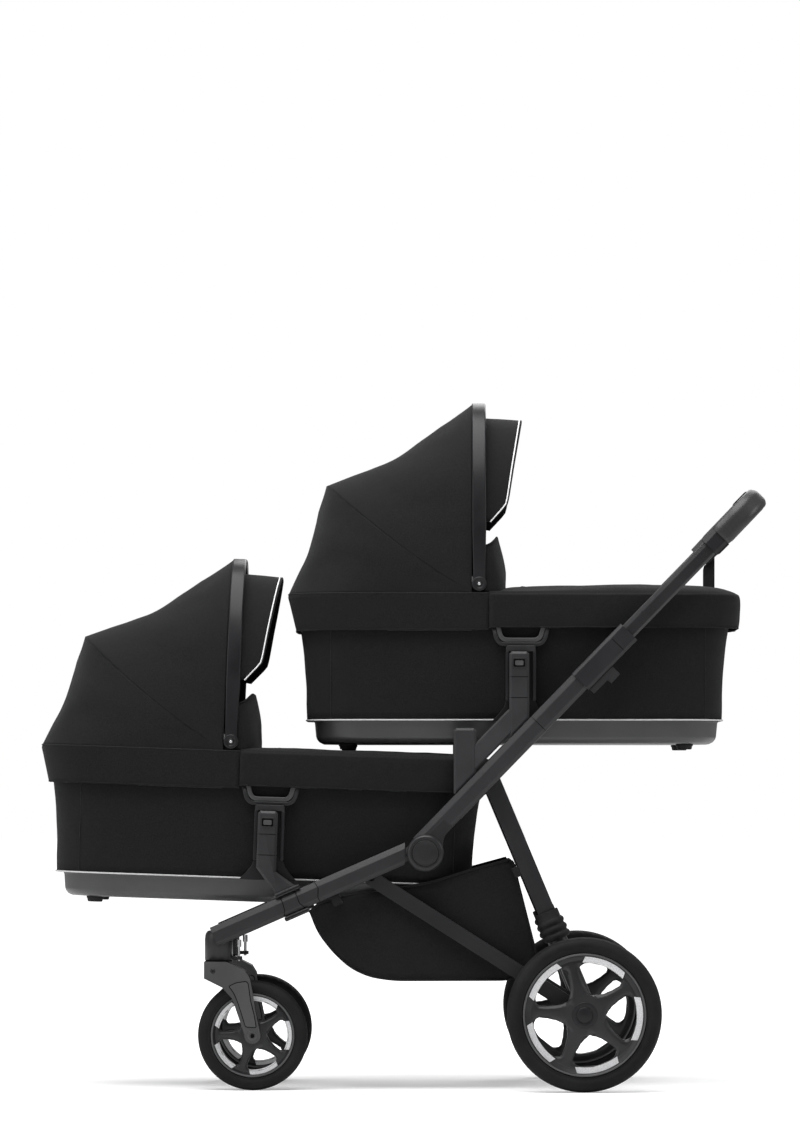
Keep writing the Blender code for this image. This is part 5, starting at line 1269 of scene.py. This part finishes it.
def make_side_tubes(side, sign):
    """The front and upper tubes with their wide chamfers, and the front foot."""
    y, half = sign * FRAME_Y, TUBE_ACROSS / 2
    reach = FRONT_DEPTH / 2
    stations = [(0.0016, reach, reach), (0.361, reach, reach)]
    front = chamfered(f"front_tube_fine_{side}", on_front, stations, y, half, lean=-0.458)
    put(front, "tube", "chassis", [f"front_tube_{side}"], sharp=40)
    neck = [(-0.014, 0.0090, 0.0140), (0.012, 0.0090, 0.0140)]
    put(chamfered(f"front_neck_{side}", on_front, neck, y, half - 0.003), "gloss", "chassis", sharp=40)
    deep = UPPER_DEPTH / 2
    stations = [(0.004, deep, deep), (0.476, deep, deep)]
    bore = ((0.476, 0.0075, 0.0145), (0.215, 0.0075, 0.0145))
    upper = chamfered(f"upper_tube_fine_{side}", on_upper, stations, y, half, bore=bore)
    put(upper, "tube", "chassis", [f"upper_tube_{side}"], sharp=40)
    stations = [(0.398, 0.0192, 0.0213), (0.518, 0.0192, 0.0213)]
    bore = ((0.518, 0.0077, 0.0147), (0.4765, 0.0077, 0.0147), (0.4765, 0.0113, 0.0183),
            (0.398, 0.0113, 0.0183))
    sleeve = chamfered(f"sleeve_fine_{side}", on_upper, stations, y, 0.0143, bore, through=True,
                       upper=(0.0050, 0.0060), lower=(0.0045, 0.0055))
    put(sleeve, "gloss", "chassis", [f"tube_sleeve_{side}"], sharp=40)
    steps = ((0.400, -0.0219), (0.400, -0.0320), (0.4333, -0.0328), (0.4333, -0.0415), (0.4554, -0.0408),
             (0.4554, -0.0219))
    latch = f"fold_latch_{side}"
    outline = [on_upper(along, rise) for along, rise in steps]
    block(f"fold_latch_grip_{side}", outline, (y - 0.009, y + 0.009), "plastic", latch, 0.0008, node=[latch])
    seam = ((0.489, 0.0155), (0.489, -0.0180))
    surface_seam(f"sleeve_seam_{side}", on_upper, seam, y, sign, 0.0286, 0.0426, 0.0005)
    make_front_foot(side, sign * FRONT_WHEEL[2])
    for k, stations in enumerate(CLAMP_SEAMS):
        surface_seam(f"clamp_seam_{k}_{side}", on_front, stations, y, sign, TUBE_ACROSS, FRONT_DEPTH)
    seam = ((0.296, 0.0165), (0.296, -0.0170))
    surface_seam(f"upper_seam_{side}", on_upper, seam, y, sign, TUBE_ACROSS, UPPER_DEPTH, 0.0005)


def make_front_foot(side, y):
    """The round foot over the swivel fork, with the small lug behind it."""
    wide, bottom, top = FOOT_RADIUS, FORK_TOP_Z, FOOT_TOP_Z
    foot = [(0.0004, bottom + 0.0020), (wide - 0.0010, bottom + 0.0020), (wide, bottom + 0.0030),
            (wide, top - 0.0150), (wide - 0.0012, top - 0.0060), (wide - 0.0040, top - 0.0018),
            (wide - 0.0070, top - 0.0002), (0.0004, top)]
    place = Matrix.Translation((SWIVEL_X, y, 0.0))
    put(lathe(f"front_foot_{side}", foot, 64, place), "tube", "chassis", sharp=50)
    lug = [(-0.2960, 0.2253), (-0.2755, 0.2253), (-0.2755, 0.2313), (-0.2960, 0.2313)]
    block(f"front_lug_{side}", lug, (y - 0.006, y + 0.006), "plastic", "chassis", 0.0008)


def make_frame():
    for side, sign in SIDES:
        refined(f"strut_{side}", "tube", 0.0020)
        refined(f"swivel_fork_{side}", "pale", 0.0016)
        refined(f"swivel_lock_{side}", "steel", 0.0006)
        make_side_tubes(side, sign)
        make_hub(side, sign)
        make_adapters(side, sign)
        make_gaiter(side, sign)
        make_fork_trim(side, sign)
        for end in ("rear", "front"):
            make_wheel(end, side, sign)
        for cot in COTS:
            make_post_trim(cot, side, sign)
    refined("front_crossbar", "tube", 0.0008)
    refined("rear_leg_frame", "tube", 0.0030)
    refined("rear_axle_beam", "tube", 0.0008)
    refined("brake_pedal", "plastic", 0.0016)


def make_gaiter(side, sign):
    """A ribbed rubber bellows round the suspension rod, gripped by a plain neck."""
    length = GAITER_END - GAITER_START
    neck = 0.014
    ribs = 3
    pitch = (length - neck) / ribs
    bore = 0.0175
    profile = [(bore, 0.0004), (GAITER_GROOVE - 0.0006, 0.0), (GAITER_GROOVE, -0.0010),
               (GAITER_GROOVE, -neck)]
    for rib in range(ribs):
        for i in range(1, 12):
            swell = math.sin(math.pi * i / 12) ** 0.55
            radius = GAITER_GROOVE - 0.0004 + (GAITER_RADIUS - GAITER_GROOVE + 0.0010) * swell
            profile.append((radius - 0.0005 * (ribs - 1 - rib), -neck - pitch * (rib + i / 12)))
    profile += [(GAITER_GROOVE, -length), (bore, -length), (bore, -0.004)]
    x, z = on_leg(GAITER_START)
    place = Matrix.Translation((x, sign * INNER_Y, z)) @ Matrix.Rotation(LEG_ANGLE - math.pi / 2, 4, "Y")
    gaiter = lathe(f"leg_gaiter_fine_{side}", profile, 48, place, closed=True)
    put(gaiter, "rubber", "leg_frame", [f"leg_gaiter_{side}"])
    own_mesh(gaiter)


FORK_PANEL = (
    (-0.0395, 0.0862), (-0.0263, 0.0922), (-0.0100, 0.0946), (-0.0062, 0.0915), (-0.0020, 0.0610),
    (0.0040, 0.0373), (0.0078, 0.0150), (-0.0105, 0.0165), (-0.0195, 0.0452), (-0.0238, 0.0584),
    (-0.0290, 0.0715), (-0.0350, 0.0810),
)
AXLE_CAP = (
    (0.0100, -0.001), (0.0100, 0.0002), (0.0092, 0.0002), (0.0088, -0.0004), (0.0084, 0.0010),
    (0.0076, 0.0014), (0.0054, 0.0014), (0.0050, 0.0006), (0.0044, 0.0006), (0.0040, 0.0012),
    (0.0016, 0.0013), (0.0014, -0.0004), (0.0004, -0.0004),
)


def make_fork_trim(side, sign):
    """Inlaid panels on the fork's arms, their axle caps and cross screws."""
    _, axle, y, width, _, _ = FRONT_WHEEL
    body = f"fork_{side}"
    panel = soft_corners([(x - 0.0012, z - 0.001) for x, z in FORK_PANEL], 0.003, steps=3)
    panel = [(axle[0] + x, axle[1] + z) for x, z in panel]
    dot = [(0.0036, -0.001), (0.0036, 0.00145), (0.0004, 0.00145)]
    screw = [(0.0042, -0.001), (0.0042, 0.0002), (0.0036, 0.0003), (0.0034, 0.0012), (0.0022, 0.0016),
             (0.0018, 0.0006), (0.0004, 0.0006)]
    for word, face in FACES:
        out = sign * y + sign * face * (width / 2 + 0.0035 + 0.009)
        reach = sorted((out, out + sign * face * 0.0009))
        block(f"fork_{word}_inlay_{side}", panel, reach, "tray", body, 0.0006, 2)
        groove = [(x, out + sign * face * 0.0002, z) for x, z in panel]
        cord_piece(f"fork_{word}_groove_{side}", groove, 0.0009, "shadow", body, cyclic=True)
        place = axis_y(axle[0], out, axle[1], sign * face)
        put(lathe(f"fork_{word}_axle_cap_{side}", AXLE_CAP, 40, place), "tray", body, sharp=40)
        put(lathe(f"fork_{word}_axle_dot_{side}", dot, 24, place), "shadow", body)
        screw_place = axis_y(-0.3251, out, 0.2065, sign * face)
        put(lathe(f"fork_{word}_screw_{side}", screw, 32, screw_place), "gloss", body)
    radius, height = FOOT_RADIUS - 0.0012, 0.0022
    gap = [(0.0004, 0.0), (radius, 0.0), (radius, height), (0.0004, height)]
    place = Matrix.Translation((SWIVEL_X, sign * y, FORK_TOP_Z + 0.0001))
    put(lathe(f"swivel_gap_{side}", gap, 64, place), "shadow", "chassis")


def make_post_trim(cot, side, sign):
    """A window of painted shade round the release button, standing for a sunk recess, and the fine joint
    lines round the post.
    """
    place = cot_place(cot)
    face = POST_Y + POST_HALF_ACROSS

    def window(half, low, high):
        corners = [(POST_X - half, POST_TOP - high), (POST_X + half, POST_TOP - high),
                   (POST_X + half, POST_TOP - low), (POST_X - half, POST_TOP - low)]
        return soft_corners(corners, 0.0025)

    rim_section = section_ring(0.0022, 0.0020, 0.0006)
    path = window(0.0108, 0.0118, 0.0276)
    surround = swept(f"{cot}_button_surround_{side}", path, rim_section, sign * face,
                     closed=True, place=place)
    put(surround, "plastic", "chassis")
    reach = sorted((sign * (face - 0.001), sign * (face + PROUD)))
    # The window's near-black plate is painted shade, where the real post has a sunk recess
    back = prism(f"{cot}_button_window_{side}", window(0.0098, 0.0128, 0.0266), *reach, place)
    put(back, "shadow", "chassis")
    reach = sorted((sign * (face - 0.002), sign * (face + 0.0016)))
    button = f"{cot}_adapter_button_{side}"
    block(f"{cot}_button_{side}", window(0.0072, 0.0158, 0.0240), reach, "pale", button, 0.0006, place=place,
          node=[button])
    for k, drop in enumerate((0.0435, 0.0795) if cot == "upper" else (0.0400, 0.0760)):
        z = POST_TOP - drop
        corners = ((-0.0174, -0.006), (-0.0134, 0.0001), (0.0134, 0.0001), (0.0174, -0.006))
        line = [place @ Vector((POST_X + u, sign * (face + v), z)) for u, v in corners]
        cord_piece(f"{cot}_post_seam_{k}_{side}", line, 0.0005, "shadow", "chassis")


# Handle
def handle_line(start_along, steps=14):
    corner_along, corner_y = HANDLE_BAR_ALONG - HANDLE_CORNER, FRAME_Y - HANDLE_CORNER
    flat = [(start_along, -FRAME_Y)]
    for i in range(steps + 1):
        turn = math.pi / 2 * i / steps
        along, y = HANDLE_CORNER * math.sin(turn), HANDLE_CORNER * math.cos(turn)
        flat.append((corner_along + along, -corner_y - y))
    flat += [(along, -y) for along, y in reversed(flat)]
    reach = HANDLE_BAR_ALONG - COLLAR_START
    points = []
    for along, y in flat:
        x, z = on_upper(along, HANDLE_BAR_RISE * (along - COLLAR_START) / reach)
        points.append(Vector((x, y, z)))
    return points


def tube_along(name, points, ring, size=None):
    """A tube along points in the handle's plane; ring is its (sideways, rise) section."""
    up = Vector((-math.sin(UPPER_ANGLE), 0.0, math.cos(UPPER_ANGLE)))
    rows = []
    for i, point in enumerate(points):
        along = (points[min(i + 1, len(points) - 1)] - points[max(i - 1, 0)]).normalized()
        side = up.cross(along).normalized()
        grow = size(i) if size else 1.0
        rows.append([point + side * v * grow + up * u * grow for v, u in ring])
    return mesh_piece(name, grid(rows, cyclic=True, caps=(True, True)))


def make_handle_tubes():
    """The inner tubes, the collars with their stops, and the bar inside the grip."""
    node = ["handle_frame"]
    for side, sign in SIDES:
        y = sign * FRAME_Y
        inner = [(0.301, 0.0142, 0.0142), (0.722, 0.0142, 0.0142)]
        tube = chamfered(f"handle_tube_{side}", on_upper, inner, y, 0.0072,
                         upper=(0.0036, 0.0080), lower=(0.0028, 0.0040), soft=0.0010)
        put(tube, "sleek", "handle", node, sharp=40)
        node = []
        outer = [(0.7190, 0.0196, 0.0178), (0.7476, 0.0202, 0.0184)]
        collar = chamfered(f"collar_{side}", on_upper, outer, y, 0.0150,
                           upper=(0.0060, 0.0098), lower=(0.0050, 0.0075), soft=0.0012)
        put(collar, "gloss", "handle", sharp=40)
        outline = [on_upper(0.7202, -0.0110), on_upper(0.7202, -0.0176), on_upper(0.7242, -0.0196),
                   on_upper(0.7464, -0.0200), on_upper(0.7474, -0.0110)]
        block(f"collar_stop_{side}", outline, (y - 0.011, y + 0.011), "gloss", "handle", 0.0008)
    ring = tube_ring(0.013, 0.013, 0.013, (0.006, 0.006), (0.006, 0.006))
    put(tube_along("handle_bar", resample(handle_line(0.744), 60), ring), "tube", "handle")


def make_handle():
    make_handle_tubes()
    refined("height_button", "gloss", 0.0010)
    points = resample(handle_line(GRIP_START), 140)
    across, top, bottom = 0.0196, GRIP_RADIUS, GRIP_RADIUS - 0.0008
    soft = ((0.0068, 0.0108), (0.0060, 0.0085), 0.0045)
    ring = tube_ring(across, top, bottom, *soft)

    def size(i):
        from_end = min(i, len(points) - 1 - i)
        return 0.93 if from_end == 0 else 0.985 if from_end == 1 else 1.0

    grip = tube_along("handle_grip_leather", points, ring, size)
    put(grip, "leather", "handle", ["handle_grip"], sharp=60)
    modify(grip, "WEIGHTED_NORMAL", keep_sharp=True)
    up = Vector((-math.sin(UPPER_ANGLE), 0.0, math.cos(UPPER_ANGLE)))
    seam = []
    for i, point in enumerate(points[2:-2]):
        along = (points[i + 3] - points[i + 1]).normalized()
        seam.append(point - up * bottom + along.cross(up) * 0.002)
    cord_piece("handle_grip_seam", seam, 0.0006, "shadow", "handle")
    middle = [point for point in resample(handle_line(GRIP_START), 280) if abs(point.y) < 0.036]
    wide = tube_ring(across + 0.0018, top + 0.0020, bottom + 0.0016, *soft)
    sleeve = put(tube_along("grip_centre_sleeve", middle, wide), "gloss", "handle", sharp=60)
    modify(sleeve, "WEIGHTED_NORMAL", keep_sharp=True)
    make_strap()


def make_strap():
    """A doubled webbing strap that hangs from the right collar, sewn near its end."""
    low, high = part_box("hand_strap")
    middle = (low.x + high.x) / 2
    half = (high.x - low.x) / 2 - 0.0004
    rows = []
    for i in range(41):
        z = high.z + 0.004 - (high.z - low.z + 0.003) * i / 40
        rest = min((z - low.z) / half, 1.0)
        width = half * math.sqrt(max(1 - (1 - rest) ** 2, 0.02)) if z - low.z < half else half
        left = -width + max(z - (high.z - 0.018), 0.0) * 0.95
        y = FRAME_Y + 0.0004 * math.sin(z * 60)
        rows.append([Vector((middle + left + (width - left) * k / 8, y, z)) for k in range(9)])
    strap = cloth_on("hand_strap_webbing", rows)
    put(thick(strap, 0.0032, 0.0), "webbing", "handle", ["hand_strap"])
    for k, z in enumerate((low.z + 0.030, low.z + 0.052)):
        line = [Vector((middle + (half - 0.003) * s, FRAME_Y - 0.0018, z)) for s in (-1.0, 1.0)]
        cord_piece(f"strap_stitch_{k}", line, 0.0006, "thread", "handle")


# Basket
BASKET_OUTLINE = (
    (-0.1586, 0.3080), (-0.1451, 0.2727), (-0.1188, 0.2381), (-0.0870, 0.2095), (-0.0530, 0.1950),
    (-0.0130, 0.1891), (0.1870, 0.1897), (0.2270, 0.2010), (0.2370, 0.2200), (0.1930, 0.3940),
)
BASKET_RIM = (
    (-0.1586, 0.3080), (-0.1400, 0.3245), (-0.1086, 0.3328), (-0.0448, 0.3439), (0.0033, 0.3497),
    (0.0511, 0.3590), (0.1237, 0.3813), (0.1850, 0.3980),
)
BASKET_HALF_WIDTH = 0.165


def make_basket():
    """A soft tub: one sheet from the front lip round the floor to the rear lip, with sewn side walls."""
    keys = [Vector((x, 0.0, z)) for x, z in soft_corners(list(BASKET_OUTLINE), 0.022, closed=False, steps=6)]
    floor = resample(keys, 64)
    rows = []
    bow = 0.006 * 0.4
    for i, point in enumerate(floor):
        share = i / (len(floor) - 1)
        row = []
        for k in range(31):
            side = k / 30 * 2 - 1
            sag = bow * (1 - side * side) * math.sin(math.pi * share)
            row.append(Vector((point.x, BASKET_HALF_WIDTH * side, point.z - sag)))
        rows.append(row)
    main = cloth_on("basket_main_cloth", rows, [(0.0035, 9.0, 51)])
    put(thick(main, 0.0016, 0.0), "basket", "chassis", ["basket"])
    lip = resample([Vector((x, 0.0, z)) for x, z in BASKET_RIM], 31)
    hull = resample(keys, 31)
    for side, sign in SIDES:
        rows = []
        for j in range(13):
            t = j / 12
            rows.append([])
            for low, high in zip(hull, lip):
                p = low.lerp(high, t)
                bulge = 0.004 * math.sin(math.pi * t) * math.sin(math.pi * (p.x + 0.16) / 0.36)
                rows[-1].append(Vector((p.x, sign * (BASKET_HALF_WIDTH + bulge - 0.001), p.z)))
        wall = cloth_on(f"basket_wall_{side}", rows, [(0.003, 11.0, 53 + sign)])
        put(thick(wall, 0.0016, 0.0), "basket", "chassis")
        for word, line, radius in (("seam", floor, 0.0016), ("rim", lip, 0.0024)):
            edge = [(p.x, sign * (BASKET_HALF_WIDTH - 0.0005), p.z) for p in line]
            cord_piece(f"basket_{word}_{side}", edge, radius, "basket", "chassis")
    for word, x, z in (("front", -0.1586, 0.3080), ("rear", 0.1890, 0.3955)):
        line = [(x, BASKET_HALF_WIDTH * s, z) for s in (-1.0, 1.0)]
        cord_piece(f"basket_rim_{word}", line, 0.0024, "basket", "chassis")
    clip = ((0.2008, 0.3871), (0.1897, 0.3825), (0.1966, 0.3659), (0.2077, 0.3705))
    tab = ((-0.1089, 0.3395), (-0.1236, 0.3331), (-0.1164, 0.3166), (-0.1017, 0.3230))
    for side, sign in SIDES:
        for word, outline, end in (("clip", clip, 0.184), ("tab", tab, 0.200)):
            reach = sorted((sign * (BASKET_HALF_WIDTH - 0.001), sign * end))
            block(f"basket_{word}_{side}", outline, reach, "webbing", "chassis")


# Stage
def make_stage():
    scene = bpy.context.scene
    bm = bmesh.new()
    bmesh.ops.create_grid(bm, x_segments=1, y_segments=1, size=60.0)
    floor = mesh_piece("studio_floor", bm)
    scene.collection.objects.link(floor)
    look = Look("studio_floor_white", 0.9, Specular_IOR_Level=0.0)
    look.shader.inputs["Base Color"].default_value = (0.86, 0.86, 0.86, 1.0)
    path = look.add("LightPath")
    spot = look.add("VectorMath", {0: look.solid}, operation="LENGTH").outputs["Value"]
    level = look.spread(spot, NEAR_GLOW, FAR_GLOW, 0.8, 3.2)
    glow = look.add("Emission", {"Strength": look.math("MULTIPLY", path.outputs["Is Camera Ray"], level)})
    total = look.add("AddShader", {0: look.shader.outputs[0], 1: glow.outputs[0]})
    look.tree.links.new(total.outputs[0], look.tree.nodes["Material Output"].inputs["Surface"])
    floor.data.materials.append(look.material)
    world = bpy.data.worlds.new("studio")
    scene.world = world
    world.use_nodes = True
    tree = world.node_tree
    background = tree.nodes["Background"]
    background.inputs["Color"].default_value = (1.0, 1.0, 1.0, 1.0)
    path = tree.nodes.new("ShaderNodeLightPath")
    seen = tree.nodes.new("ShaderNodeMath")
    seen.operation = "ADD"
    tree.links.new(path.outputs["Is Camera Ray"], seen.inputs[0])
    tree.links.new(path.outputs["Is Transmission Ray"], seen.inputs[1])
    seen.use_clamp = True
    level = tree.nodes.new("ShaderNodeMapRange")
    level.inputs["To Min"].default_value = WORLD_LEVEL
    level.inputs["To Max"].default_value = 1.0
    tree.links.new(seen.outputs[0], level.inputs["Value"])
    tree.links.new(level.outputs["Result"], background.inputs["Strength"])


NEAR_GLOW, FAR_GLOW = 0.24, 0.95
WORLD_LEVEL = 0.30
LAMPS = (
    ("top", (-0.4, -0.8, 3.5), 3.0, 165.0), ("key", (-3.2, -1.6, 1.8), 2.2, 36.0),
    ("side", (3.0, -0.8, 1.8), 1.6, 22.0), ("back", (0.8, 3.0, 2.8), 2.4, 45.0),
)
LOOK_AT = Vector((0.0, 0.0, 0.55))
CAMERA_PLACE, CAMERA_LENS, CAMERA_SHIFT = (0.049, -10.44, 0.508), 188.5, (-0.0265, 0.202)


def make_lights_and_camera():
    scene = bpy.context.scene
    for name, place, size, power in LAMPS:
        lamp = bpy.data.lights.new(name, "AREA")
        lamp.size = size
        lamp.energy = power
        obj = bpy.data.objects.new(name, lamp)
        obj.location = place
        obj.rotation_euler = (LOOK_AT - Vector(place)).to_track_quat("-Z", "Y").to_euler()
        scene.collection.objects.link(obj)
    camera = bpy.data.cameras.new("camera")
    camera.lens = CAMERA_LENS
    camera.shift_x, camera.shift_y = CAMERA_SHIFT
    obj = bpy.data.objects.new("camera", camera)
    obj.location = CAMERA_PLACE
    obj.rotation_euler = (math.pi / 2, 0.0, 0.0)
    scene.collection.objects.link(obj)
    scene.camera = obj
    scene.view_settings.view_transform = "Standard"


make_stage()
make_lights_and_camera()
make_frame()
make_handle()
make_basket()
for cot_name in COTS:
    make_carrycot(cot_name)
